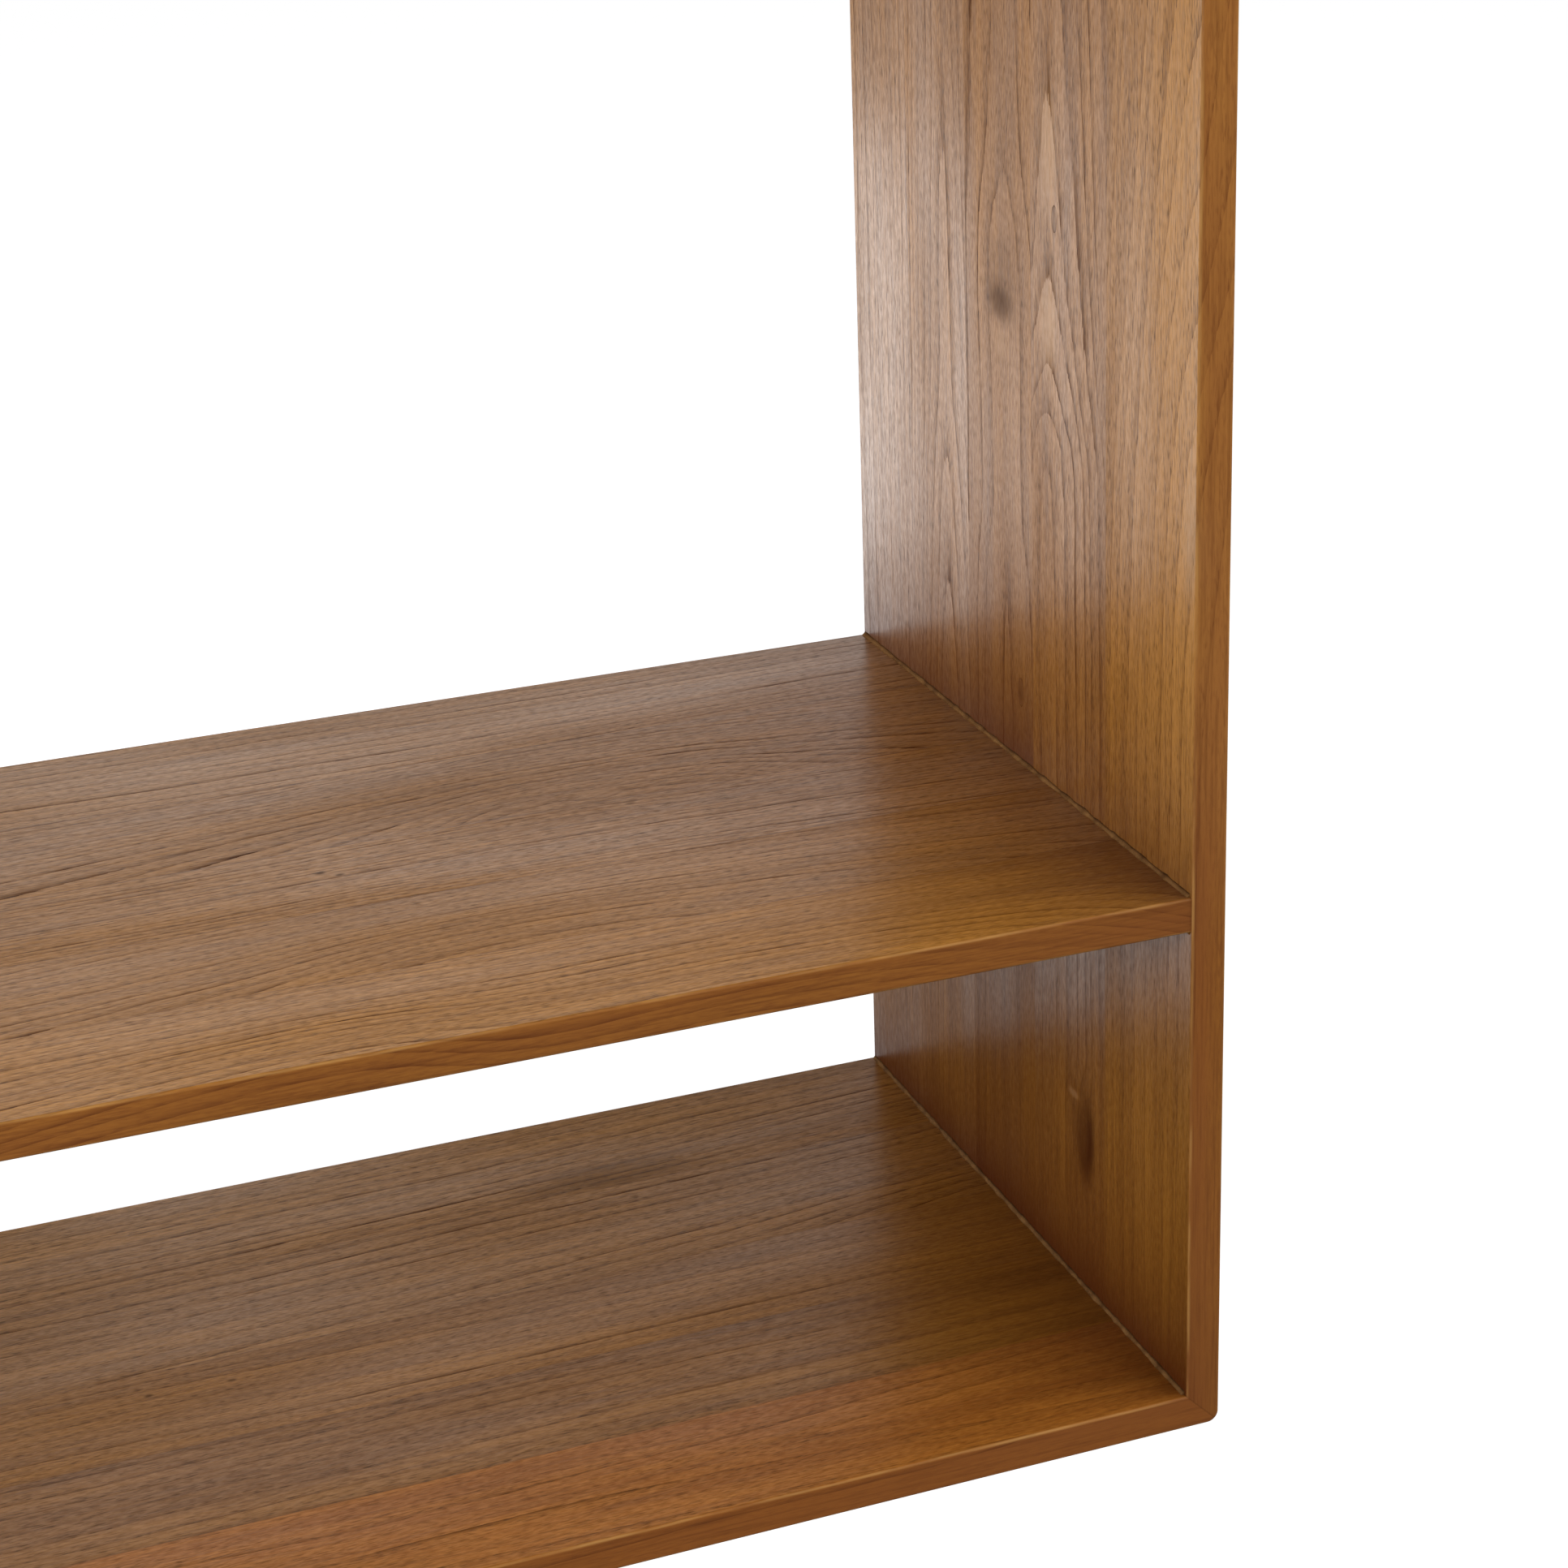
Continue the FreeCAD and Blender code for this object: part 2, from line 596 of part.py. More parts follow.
os.makedirs("parts", exist_ok=True)
for piece in pieces:
    piece.Shape.exportStep(os.path.join("parts", f"{piece.Label}.step"))
    print(f"{piece.Label}: {len(piece.Shape.Solids)} solid(s), {piece.Shape.Volume:.1f} mm3")
print(f"{len(pieces)} nodes")
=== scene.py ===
# %% [markdown]
# # A teak wall shelf, dressed in Blender
#
# The shelf is an open box of five teak boards: a bottom, a top, two sides and one fixed shelf.
# Each board is glued up from five staves, and the CAD frame already holds every stave, spline,
# dowel and hanger at its real size. So the shapes are settled before Blender starts. What is left
# is what the eye reads first: the figure of the wood, the lacquer on it, the small bead of filler
# in the inner corners, and the screws on the back.

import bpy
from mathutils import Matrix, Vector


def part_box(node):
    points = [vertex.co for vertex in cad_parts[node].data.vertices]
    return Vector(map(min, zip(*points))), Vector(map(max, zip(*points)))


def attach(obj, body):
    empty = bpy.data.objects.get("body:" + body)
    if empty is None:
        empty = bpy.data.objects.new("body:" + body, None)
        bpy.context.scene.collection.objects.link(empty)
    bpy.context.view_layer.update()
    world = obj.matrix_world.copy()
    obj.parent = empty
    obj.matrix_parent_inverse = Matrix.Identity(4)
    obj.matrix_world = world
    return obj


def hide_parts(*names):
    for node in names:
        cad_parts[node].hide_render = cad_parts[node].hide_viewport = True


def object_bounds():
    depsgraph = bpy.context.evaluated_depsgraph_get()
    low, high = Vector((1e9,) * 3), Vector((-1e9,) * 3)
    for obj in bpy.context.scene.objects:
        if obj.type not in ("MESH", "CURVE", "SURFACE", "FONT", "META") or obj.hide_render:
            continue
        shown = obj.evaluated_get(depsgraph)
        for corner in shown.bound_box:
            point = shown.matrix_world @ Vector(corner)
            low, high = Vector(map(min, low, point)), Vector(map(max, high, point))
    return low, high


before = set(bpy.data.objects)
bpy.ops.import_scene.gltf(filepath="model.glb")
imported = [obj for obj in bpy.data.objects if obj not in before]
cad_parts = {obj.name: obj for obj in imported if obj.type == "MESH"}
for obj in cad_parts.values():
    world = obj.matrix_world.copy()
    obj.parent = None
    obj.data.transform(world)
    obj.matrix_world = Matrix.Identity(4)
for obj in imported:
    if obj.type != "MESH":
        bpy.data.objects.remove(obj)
cad_box = [list(corner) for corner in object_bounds()]
print(len(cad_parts), "CAD nodes, from", cad_box[0], "to", cad_box[1])

# %% [markdown]
# ## The camera
#
# A product photograph taken from close by shows strong perspective: the far end of the shelf is
# visibly smaller than the near end. A guess at the angle never lines up, so the numbers here were
# worked out from the straight edges in the photograph, which all belong to a box. A camera is then
# a place, a point to look at, a small roll and a lens. The photograph is also a crop: the middle of
# its lens lies up and to the right of its own middle, and a small shift of the lens does the same.

# %% Place the camera
import math

import bpy
from mathutils import Quaternion, Vector

CAMERA_PLACE = Vector((-0.1869, -1.4642, 0.1842))
CAMERA_AIM = Vector((0.385, -0.021, -0.3884))
CAMERA_ROLL = math.radians(-1.27)
LENS_MM = 79.06
SENSOR_MM = 36.0
LENS_SHIFT = -0.062

scene = bpy.context.scene
lens = bpy.data.cameras.new("camera")
lens.sensor_width = SENSOR_MM
lens.lens = LENS_MM
lens.shift_x = LENS_SHIFT
lens.shift_y = LENS_SHIFT
camera = bpy.data.objects.new("camera", lens)
camera.location = CAMERA_PLACE
camera.rotation_mode = "QUATERNION"
level = (CAMERA_AIM - CAMERA_PLACE).to_track_quat("-Z", "Y")
camera.rotation_quaternion = level @ Quaternion((0, 0, 1), CAMERA_ROLL)
scene.collection.objects.link(camera)
scene.camera = camera
print("camera", round((CAMERA_AIM - CAMERA_PLACE).length, 3), "m from the point it looks at")

# %% [markdown]
# ## White studio
#
# The shelf was shot in a white studio. Satin lacquer mirrors that white at a flat angle, so the
# surroundings matter as much as the lamps. The world is white where a camera or a mirror looks at
# it, and only a soft fill for the light that falls on the wood. Light Path tells these kinds of ray
# apart. Some helpers come first, for colours, nodes, rays, materials, distances and ranges.

# %% Helpers for colours and nodes
MATH, MAP_RANGE, NOISE = "ShaderNodeMath", "ShaderNodeMapRange", "ShaderNodeTexNoise"


def linear(code):
    """An sRGB hex colour as the linear numbers that nodes take, with alpha 1."""
    shares = [int(code[i : i + 2], 16) / 255 for i in (1, 3, 5)]
    bright = [s / 12.92 if s <= 0.04045 else ((s + 0.055) / 1.055) ** 2.4 for s in shares]
    return (*bright, 1.0)


def add_node(tree, kind, inputs=None, give=0, **settings):
    """Add a node, set its properties, fill or link its sockets, and return one of its outputs."""
    made = tree.nodes.new(kind)
    for name, value in settings.items():
        setattr(made, name, value)
    for key, value in (inputs or {}).items():
        if isinstance(value, bpy.types.NodeSocket):
            tree.links.new(value, made.inputs[key])
        else:
            made.inputs[key].default_value = value
    return made.outputs[give] if made.outputs else made


def looking_rays(tree):
    """Share 1 for a ray that looks: from the camera, off a glossy face or through glass."""
    rays = add_node(tree, "ShaderNodeLightPath").node.outputs
    seen = 0.0
    for kind in ("Is Camera Ray", "Is Glossy Ray", "Is Transmission Ray"):
        seen = add_node(tree, MATH, {0: rays[kind], 1: seen}, operation="MAXIMUM")
    return seen


def empty_material(name):
    """A new material and its node tree, with nothing in it."""
    material = bpy.data.materials.new(name)
    material.use_nodes = True
    material.node_tree.nodes.clear()
    return material, material.node_tree


def end_material(tree, look):
    """The end of a material: a surface that looks like this, and the output."""
    shader = add_node(tree, "ShaderNodeBsdfPrincipled", look)
    add_node(tree, "ShaderNodeOutputMaterial", {"Surface": shader})


def apart(tree, value, spot):
    """How far a value lies from a spot, on either side of it."""
    off = add_node(tree, MATH, {0: value, 1: spot}, operation="SUBTRACT")
    return add_node(tree, MATH, {0: off}, operation="ABSOLUTE")


def between(low, high, start=0.0, end=1.0):
    """Settings for Map Range: values from low to high become values from start to end."""
    return {"From Min": low, "From Max": high, "To Min": start, "To Max": end}


print("the hex grey #808080 is", round(linear("#808080")[0], 3), "in linear light")

# %% The white world
WHITE = linear("#FFFFFF")
FILL_LIGHT = 0.02
SEEN_WHITE = 1.0
scene.view_settings.view_transform = "Standard"
world = bpy.data.worlds.new("white_studio")
scene.world = world
world.use_nodes = True
tree = world.node_tree
tree.nodes.clear()
fill = add_node(tree, "ShaderNodeBackground", {"Color": WHITE, "Strength": FILL_LIGHT})
backdrop = add_node(tree, "ShaderNodeBackground", {"Color": WHITE, "Strength": SEEN_WHITE})
sky = add_node(tree, "ShaderNodeMixShader", {0: looking_rays(tree), 1: fill, 2: backdrop})
add_node(tree, "ShaderNodeOutputWorld", {"Surface": sky})
print("world: fill", FILL_LIGHT, "and white", SEEN_WHITE, "where it is seen")

# %% [markdown]
# ## The floor
#
# A photographer stands such a shelf on a roll of white paper. A flat plane does that job. The paper
# is lifted close to white for the camera and for mirrors, and the rest of its brightness comes from
# the lamps, so the shelf's soft shadow stays on it.

# %% The paper floor
FLOOR_HALF = 6.0
PAPER_GLOW = 0.985
PAPER_GREY = linear("#8A8A8A")
paper, tree = empty_material("white_paper")
lift = add_node(tree, MATH, {0: looking_rays(tree), 1: PAPER_GLOW}, operation="MULTIPLY")
glow = add_node(tree, "ShaderNodeEmission", {"Color": WHITE, "Strength": lift})
matt = add_node(tree, "ShaderNodeBsdfDiffuse", {"Color": PAPER_GREY})
both = add_node(tree, "ShaderNodeAddShader", {0: glow, 1: matt})
add_node(tree, "ShaderNodeOutputMaterial", {"Surface": both})
floor_mesh = bpy.data.meshes.new("paper_floor")
floor_level = cad_box[0][2]
square = ((-1, -1), (1, -1), (1, 1), (-1, 1))
corners = [(x * FLOOR_HALF, y * FLOOR_HALF, floor_level) for x, y in square]
floor_mesh.from_pydata(corners, [], [(0, 1, 2, 3)])
floor_mesh.materials.append(paper)
floor = bpy.data.objects.new("paper_floor", floor_mesh)
scene.collection.objects.link(floor)
print("floor at", round(floor_level, 4), "m")

# %% [markdown]
# ## The lamps
#
# In the photograph the side panel, which faces left, is the brightest board. The front edges and
# the left of the shelves come next, and the inner corners are dim. Several large, weak soft boxes do
# that: two at the left for the side panel, one in front of it and one behind, two at the right for the
# edges and the left of the shelves, and weaker ones that fill from the front and from above the back.
# A small card low behind the shelf is there for its reflection, the pale sheen at the rear of the side.

# %% Soft boxes
# A box has a place, a point that it is aimed at, two sides in metres, and its watts.
SOFT_BOXES = {
    "left_box": ((-1.3, -0.9, 0.08), (0.3, -0.2, -0.05), (0.8, 0.5), 11),
    "left_rear_box": ((-1.6, 0.3, 0.18), (0.3, -0.2, -0.05), (1.0, 1.0), 11),
    "rear_box": ((-0.4, 0.7, 1.2), (0.0, -0.1, -0.3), (1.0, 1.0), 3),
    "front_box": ((-1.5, -1.6, 0.2), (0.2, -0.2, -0.2), (1.2, 1.2), 14),
    "front_right_box": ((1.2, -1.7, 0.8), (0.0, -0.2, -0.2), (1.2, 1.2), 13),
    "right_box": ((2.0, -1.0, 0.9), (0.0, -0.2, -0.3), (1.2, 1.2), 22),
    "low_card": ((0.2, 0.8, -0.44), (0.385, -0.05, -0.3), (0.3, 0.3), 0.9),
}
for name, (place, aim, size, watts) in SOFT_BOXES.items():
    lamp = bpy.data.lights.new(name, "AREA")
    lamp.shape = "RECTANGLE"
    lamp.size, lamp.size_y = size
    lamp.energy = watts
    holder = bpy.data.objects.new(name, lamp)
    holder.location = place
    holder.rotation_mode = "QUATERNION"
    way = Vector(aim) - Vector(place)
    holder.rotation_quaternion = way.to_track_quat("-Z", "Y")
    holder.visible_camera = False
    scene.collection.objects.link(holder)
    print(name, watts, "W")

# %% [markdown]
# ## Teak, from the log to the board
#
# A photograph wrapped on a board would stop at its edges, and noise alone gives stains rather than
# grain. Wood is a stack of growth rings round the heart of a log, and a board is a cut through it.
# So the pattern here is the log itself, in millimetres: each point of a stave has a distance from
# the heart, and that distance divided by the width of a ring says which ring it is in. A cut beside
# the heart gives straight lines. A cut over the heart gives the pointed arches called flames, and
# their tips lie where the depth of the cut under the bark crosses from one ring to the next.

# %% Where a point lies in the log
MM = 1000.0
RISE_REACH = 100.0


def log_place(tree, cut):
    """Object coordinates, and the same from the heart, in millimetres, with the grain along X."""
    place = add_node(tree, "ShaderNodeTexCoord", give="Object")
    turned = {
        "Vector": place,
        "Location": (0.0, -cut["heart"], -cut["face"]),
        "Rotation": (0.0, cut["turn"], 0.0),
        "Scale": (MM, MM, MM),
    }
    return place, add_node(tree, "ShaderNodeMapping", turned)


def depth_to_heart(tree, cut, along):
    """How far the face of the board lies from the heart, which changes along the board."""
    first, last = cut["rise"][0][0], cut["rise"][-1][0]
    share = add_node(tree, MAP_RANGE, {"Value": along, **between(first, last)})
    curve = add_node(tree, "ShaderNodeFloatCurve", {"Value": share})
    line = curve.node.mapping.curves[0]
    spots = [((spot - first) / (last - first), depth / RISE_REACH) for spot, depth in cut["rise"]]
    line.points[0].location, line.points[1].location = spots[0], spots[-1]
    for spot in spots[1:-1]:
        line.points.new(*spot)
    curve.node.mapping.update()
    return curve


print("a heart may lie up to", RISE_REACH, "mm under the face of a stave")

# %% [markdown]
# ## Fibres, pores and the ground
#
# Teak has long fibres, and its large pores show as short dark dashes that lie along them. Between them
# the ground is finely stippled and drifts in long patches. All of these are noise, stretched along the
# grain by their real lengths and widths. The pores of real teak are about 0.3 mm wide, which is too
# fine for the picture, so they are drawn twice as wide. Fibres also sway and ripple, so the lines of a
# board are never ruled straight.

# %% Noise of the wood, by length along the grain and width across it
GRAIN = {
    "sway": ((230.0, 46.0, 46.0), 1.0),
    "ripple": ((60.0, 14.0, 14.0), 2.0),
    "patch": ((190.0, 11.0, 11.0), 3.0),
    "broken": ((28.0, 2.6, 2.6), 2.0),
    "stipple": ((4.2, 1.1, 1.1), 2.0),
    "fibre": ((34.0, 1.1, 1.1), 2.0),
    "pore": ((5.0, 0.6, 0.6), 1.0),  # twice the real width, so that it shows
}


def wood_noise(tree, mm, seed):
    """The noises of the wood, each by its length and width in millimetres."""
    made = {}
    for name, (size, detail) in GRAIN.items():
        shrunk = {0: mm, 1: [1 / s for s in size]}
        shrunk = add_node(tree, "ShaderNodeVectorMath", shrunk, operation="MULTIPLY")
        wanted = {"Vector": shrunk, "W": seed, "Scale": 1.0, "Detail": detail}
        made[name] = add_node(tree, NOISE, wanted, noise_dimensions="4D")
    return made


print(len(GRAIN), "noises:", ", ".join(GRAIN))

# %% [markdown]
# ## Knots
#
# A knot is where a branch grew. The rings swell round it, and its middle is dark. The same kind of
# spot, with its sign turned round, is the pale heart of a flame or a small scratch. Each spot is a
# round bump, stretched to its own length and width, which falls off steeply enough to have an edge.

# %% Spots along and across a stave
KNOT_EDGE = 1.6


def knot_spots(tree, knots, along, across):
    """Two bumps over all knots: how far the rings swell round them, and how dark or pale they are."""
    swell, dark = 0.0, 0.0
    for spot, side, half_length, half_width, rings, tint in knots:
        run = add_node(tree, MATH, {0: along, 1: spot}, operation="SUBTRACT")
        beside = add_node(tree, MATH, {0: across, 1: side}, operation="SUBTRACT")
        flat = add_node(tree, "ShaderNodeCombineXYZ", {0: run, 1: beside})
        shrunk = {0: flat, 1: (1 / half_length, 1 / half_width, 0.0)}
        off = add_node(tree, "ShaderNodeVectorMath", shrunk, operation="MULTIPLY")
        both = {0: off, 1: off}
        square = add_node(tree, "ShaderNodeVectorMath", both, give=1, operation="DOT_PRODUCT")
        crisp = add_node(tree, MATH, {0: square, 1: KNOT_EDGE}, operation="POWER")
        falling = add_node(tree, MATH, {0: crisp, 1: -1.0}, operation="MULTIPLY")
        bump = add_node(tree, MATH, {0: falling}, operation="EXPONENT")
        swell = add_node(tree, MATH, {0: bump, 1: rings, 2: swell}, operation="MULTIPLY_ADD")
        dark = add_node(tree, MATH, {0: bump, 1: tint, 2: dark}, operation="MULTIPLY_ADD")
    return swell, dark


print("knots fall off with the power", KNOT_EDGE, "of the square of their distance")

# %% [markdown]
# ## Growth rings
#
# A ring ends in a thin dark line of late wood, and a faint shade fades from it into the next ring.
# Good years and bad years make wide and narrow rings, so the count gets an uneven part, except over
# the heart, where the flames have to keep their places. No two rings are equally dark either: most are
# faint and a few are strong, and along its length a line breaks up.

# %% Which ring a point is in
SWAYS_MM = {"sway": 13.0, "ripple": 3.0}
RING_UNEVEN = 1.1
RING_RUN_MM = 11.0
RING_FRAY = 0.16
FLAME_HALF_MM = 16.0


def log_radius(tree, cut, mm, noise):
    """How far a point lies from the heart, and how far to the side of it, once the fibres sway."""
    along, beside, depth = add_node(tree, "ShaderNodeSeparateXYZ", {0: mm}).node.outputs
    for name, reach in SWAYS_MM.items():
        beside = add_node(tree, MATH, {0: noise[name], 1: reach, 2: beside}, operation="MULTIPLY_ADD")
    usual = sum(SWAYS_MM.values()) / 2
    beside = add_node(tree, MATH, {0: beside, 1: usual}, operation="SUBTRACT")
    height = {0: depth_to_heart(tree, cut, along), 1: RISE_REACH, 2: depth}
    height = add_node(tree, MATH, height, operation="MULTIPLY_ADD")
    flat = add_node(tree, "ShaderNodeCombineXYZ", {0: beside, 1: height})
    return add_node(tree, "ShaderNodeVectorMath", {0: flat}, give=1, operation="LENGTH"), beside


def ring_count(tree, cut, noise, seed, swell, mm):
    """Which ring a point is in, counted from the heart, with a share of the ring as its fraction."""
    radius, beside = log_radius(tree, cut, mm, noise)
    years = add_node(tree, MATH, {0: radius, 1: 1 / RING_RUN_MM, 2: seed}, operation="MULTIPLY_ADD")
    uneven = {"W": years, "Scale": 1.0, "Detail": 1.0}
    uneven = add_node(tree, NOISE, uneven, noise_dimensions="1D")
    away = add_node(tree, MATH, {0: beside}, operation="ABSOLUTE")
    away = {"Value": away, **between(0.0, FLAME_HALF_MM, 0.0, RING_UNEVEN)}
    away = add_node(tree, MAP_RANGE, away, interpolation_type="SMOOTHSTEP")
    count = add_node(tree, MATH, {0: radius, 1: cut["ring"]}, operation="DIVIDE")
    for part, reach in ((uneven, away), (noise["fibre"], RING_FRAY)):
        count = add_node(tree, MATH, {0: part, 1: reach, 2: count}, operation="MULTIPLY_ADD")
    return add_node(tree, MATH, {0: count, 1: swell}, operation="ADD")


print("rings sway by", SWAYS_MM["sway"], "mm and ripple by", SWAYS_MM["ripple"], "mm")

# %% Lines and shades of the rings
RARE_DARK = 1.3
SHADE_FADE = 1.5
GAPS = between(0.36, 0.58, 0.4)


def ring_lines(tree, cut, noise, count):
    """Two shares: the thin dark line at the edge of each ring, and the shade that fades into the ring."""
    year = add_node(tree, MATH, {0: count}, operation="FLOOR")
    luck = add_node(tree, "ShaderNodeTexWhiteNoise", {"W": year}, noise_dimensions="1D")
    luck = add_node(tree, MATH, {0: luck, 1: RARE_DARK}, operation="POWER")
    luck = add_node(tree, MAP_RANGE, {"Value": luck, "To Min": cut["faint"]})
    gaps = add_node(tree, MAP_RANGE, {"Value": noise["broken"], **GAPS})
    within = add_node(tree, MATH, {0: count}, operation="FRACT")
    off_line = add_node(tree, MATH, {0: within, 1: -cut["ring"] / cut["line"]}, operation="MULTIPLY")
    line = add_node(tree, MATH, {0: off_line}, operation="EXPONENT")
    for weight in (luck, gaps):
        line = add_node(tree, MATH, {0: line, 1: weight}, operation="MULTIPLY")
    left = add_node(tree, MATH, {0: 1.0, 1: within}, operation="SUBTRACT")
    return line, add_node(tree, MATH, {0: left, 1: SHADE_FADE}, operation="POWER")


print("a broken line keeps at least", GAPS["To Min"], "of its strength")

# %% [markdown]
# ## All marks of a stave
#
# A board is not equally lively all over. Some places are calm: the lines and pores fade there, and so
# does the gloss. In others the figure is strong. Here the marks of one stave are gathered under their
# names, so that colour and lacquer can share them. Knots fade out towards the outer face of a board.

# %% The marks, gathered
DRAWN = between(0.35, 0.65, 0.55, 1.6)
STRANDS = between(0.46, 0.72, 0.0, 0.38)
DASHES = between(0.5, 0.68, 0.0, 0.66)
FEW_PORES = 0.45


def inner_face(tree, cut, depth):
    """Share 1 on the face that looks into the box, falling to 0 on the face that looks out."""
    skin = add_node(tree, MATH, {0: depth}, operation="ABSOLUTE")
    return add_node(tree, MAP_RANGE, {"Value": skin, **between(*cut["inner"])})


def wood_marks(tree, cut, mm, seed):
    """How much of each mark of the wood a point has, as sockets by name."""
    noise = wood_noise(tree, mm, seed)
    along, across, depth = add_node(tree, "ShaderNodeSeparateXYZ", {0: mm}).node.outputs
    knots = [(spot, side - cut["heart"], *sizes) for spot, side, *sizes in cut["knots"]]
    swell, dark = knot_spots(tree, knots, along, across)
    inner = inner_face(tree, cut, depth)
    dark = add_node(tree, MATH, {0: dark, 1: inner}, operation="MULTIPLY")
    count = ring_count(tree, cut, noise, seed, swell, mm)
    line, shade = ring_lines(tree, cut, noise, count)
    lively = add_node(tree, MAP_RANGE, {"Value": along, **between(*cut["calm"])})
    drawn = add_node(tree, MAP_RANGE, {"Value": noise["patch"], **DRAWN})
    for weight in (drawn, lively, cut["figure"]):
        line = add_node(tree, MATH, {0: line, 1: weight}, operation="MULTIPLY")
    strands = add_node(tree, MAP_RANGE, {"Value": noise["fibre"], **STRANDS})
    dashes = add_node(tree, MAP_RANGE, {"Value": noise["pore"], **DASHES})
    crowd = add_node(tree, MAP_RANGE, {"Value": shade, "To Min": FEW_PORES})
    for weight in (crowd, lively):
        dashes = add_node(tree, MATH, {0: dashes, 1: weight}, operation="MULTIPLY")
    return {
        "along": along, "across": across, "depth": depth, "inner": inner, "lively": lively, "dark": dark,
        "line": line, "shade": shade, "strands": strands, "dashes": dashes, **noise,
    }


print("fibres darken the wood by up to", STRANDS["To Max"], "and pores by up to", DASHES["To Max"])

# %% [markdown]
# ## Seams, mitres and painted shade
#
# Staves meet at glue lines, and boards at mitres: both show as thin dark lines. The inner corners get
# painted shade: the wood is painted darker and redder there, as the dim light in the corners makes it.
# Each of these is a distance, from a line or a corner, turned into a share.

# %% Glue lines, mitres and painted shade in the corners
GLUE_MM, GLUE_FULL_MM = 0.5, 0.1
MITRE_REACH, MITRE_SHARE = (0.0006, 0.0002), 0.4


def glue_line(tree, cut, across):
    """How close a point is to the glue line of its stave, as a share."""
    middle = (cut["seams"][0] + cut["seams"][1]) / 2 - cut["heart"]
    half = (cut["seams"][1] - cut["seams"][0]) / 2
    away = apart(tree, across, middle)
    near = between(half - GLUE_MM, half - GLUE_FULL_MM, 0.0, cut["seam"])
    return add_node(tree, MAP_RANGE, {"Value": away, **near})


def mitre_line(tree, mitres, place):
    """How close a point is to the mitre of a corner, where a board ends at half a right angle."""
    x, _, z = add_node(tree, "ShaderNodeSeparateXYZ", {0: place}).node.outputs
    x = add_node(tree, MATH, {0: x}, operation="ABSOLUTE")
    share = 0.0
    for corner, way in mitres:
        past = add_node(tree, MATH, {0: z, 1: way, 2: x}, operation="MULTIPLY_ADD")
        past = apart(tree, past, corner)
        near = {"Value": past, **between(*MITRE_REACH, share, MITRE_SHARE)}
        share = add_node(tree, MAP_RANGE, near)
    return share


def corner_painted_shade(tree, cut, along, inner):
    """How much painted shade a point gets, by its distance from the inner corners."""
    share = 0.0
    for corner, most in cut["corners"]:
        away = apart(tree, along, corner)
        away = add_node(tree, MATH, {0: away, 1: -1 / cut["shade_reach"]}, operation="MULTIPLY")
        corner_shade = add_node(tree, MATH, {0: away}, operation="EXPONENT")
        share = add_node(tree, MATH, {0: corner_shade, 1: most, 2: share}, operation="MULTIPLY_ADD")
    return add_node(tree, MATH, {0: share, 1: inner}, operation="MULTIPLY")


print("glue lines", GLUE_MM, "mm wide on each stave")

# %% [markdown]
# ## Colour of a stave
#
# The colour is built up as the wood is: a ground that drifts between two tones, pale sapwood where a
# stave has it, then the rings, the fibres, the pores, the knots, the glue line and the painted shade in
# the inner corners. One could mix them all by hand. A list of tints, each with its share, is easier to
# read and to change: it is laid on the ground from the first to the last.

# %% Tones and tints of teak
MIX_SHARE, MIX_FROM, MIX_TO, MIX_RESULT = 0, 6, 7, 2
TONES = {
    "honey": ("#D29238", "#B57C2F"),
    "amber": ("#C98B34", "#AC752B"),
    "brown": ("#C18431", "#A26C27"),
    "umber": ("#AF762B", "#915F23"),
    "ruddy": ("#C88030", "#A96726"),
}
LATE_WOOD = linear("#613817")
PORE = linear("#38200F")
KNOT = linear("#432712")
BARE = linear("#D2A26C")
SAPWOOD = linear("#D89B4C")
# Painted shade for the inner corners, darker and redder; the same colour darkens the veins of the front
# edges.
CORNER_SHADE_AND_VEIN = linear("#56290F")
DRIFT = {"stipple": 1.3, "patch": 1.7}
DRIFT_REACH = 0.3
SHADE_SHARE = 0.18


def lay_tints(tree, colour, tints):
    """A ground colour with a list of tints laid over it, each by its share."""
    for share, tint in tints:
        wanted = {MIX_SHARE: share, MIX_FROM: colour, MIX_TO: tint}
        colour = add_node(tree, "ShaderNodeMix", wanted, give=MIX_RESULT, data_type="RGBA")
    return colour


def ground_drift(tree, marks):
    """How far the ground has drifted from its deep tone to its pale one."""
    specks = 0.0
    for kind, weight in DRIFT.items():
        specks = add_node(tree, MATH, {0: marks[kind], 1: weight, 2: specks}, operation="MULTIPLY_ADD")
    usual = sum(DRIFT.values()) / 2
    reach = between(usual - DRIFT_REACH, usual + DRIFT_REACH)
    return add_node(tree, MAP_RANGE, {"Value": specks, **reach})


def sapwood(tree, cut, marks):
    """How much a point belongs to the pale outer wood of the log, by its place on the stave."""
    share = 1.0
    for value, (start, end) in zip((marks["along"], marks["across"]), cut["sap"]):
        fade = {"Value": value, **between(start, end, 0.0, share)}
        share = add_node(tree, MAP_RANGE, fade)
    return share


def wood_tints(tree, cut, marks):
    """The tints of a stave and their shares, in the order in which they lie on the deep ground."""
    tints = [(ground_drift(tree, marks), linear(TONES[cut["tone"]][0]))]
    if "sap" in cut:
        tints.append((sapwood(tree, cut, marks), SAPWOOD))
    shade = add_node(tree, MATH, {0: marks["shade"], 1: SHADE_SHARE}, operation="MULTIPLY")
    rings = add_node(tree, MATH, {0: marks["line"], 1: shade}, operation="MAXIMUM")
    bare = add_node(tree, MATH, {0: marks["dark"], 1: -1.0}, operation="MULTIPLY")
    return tints + [
        (rings, LATE_WOOD),
        (marks["strands"], LATE_WOOD),
        (marks["dashes"], PORE),
        (marks["dark"], KNOT),
        (bare, BARE),
        (glue_line(tree, cut, marks["across"]), LATE_WOOD),
        # Painted shade: the inner corners darker and redder, by their distance.
        (corner_painted_shade(tree, cut, marks["along"], marks["inner"]), CORNER_SHADE_AND_VEIN),
    ]


print(len(TONES), "pairs of tones:", ", ".join(TONES))
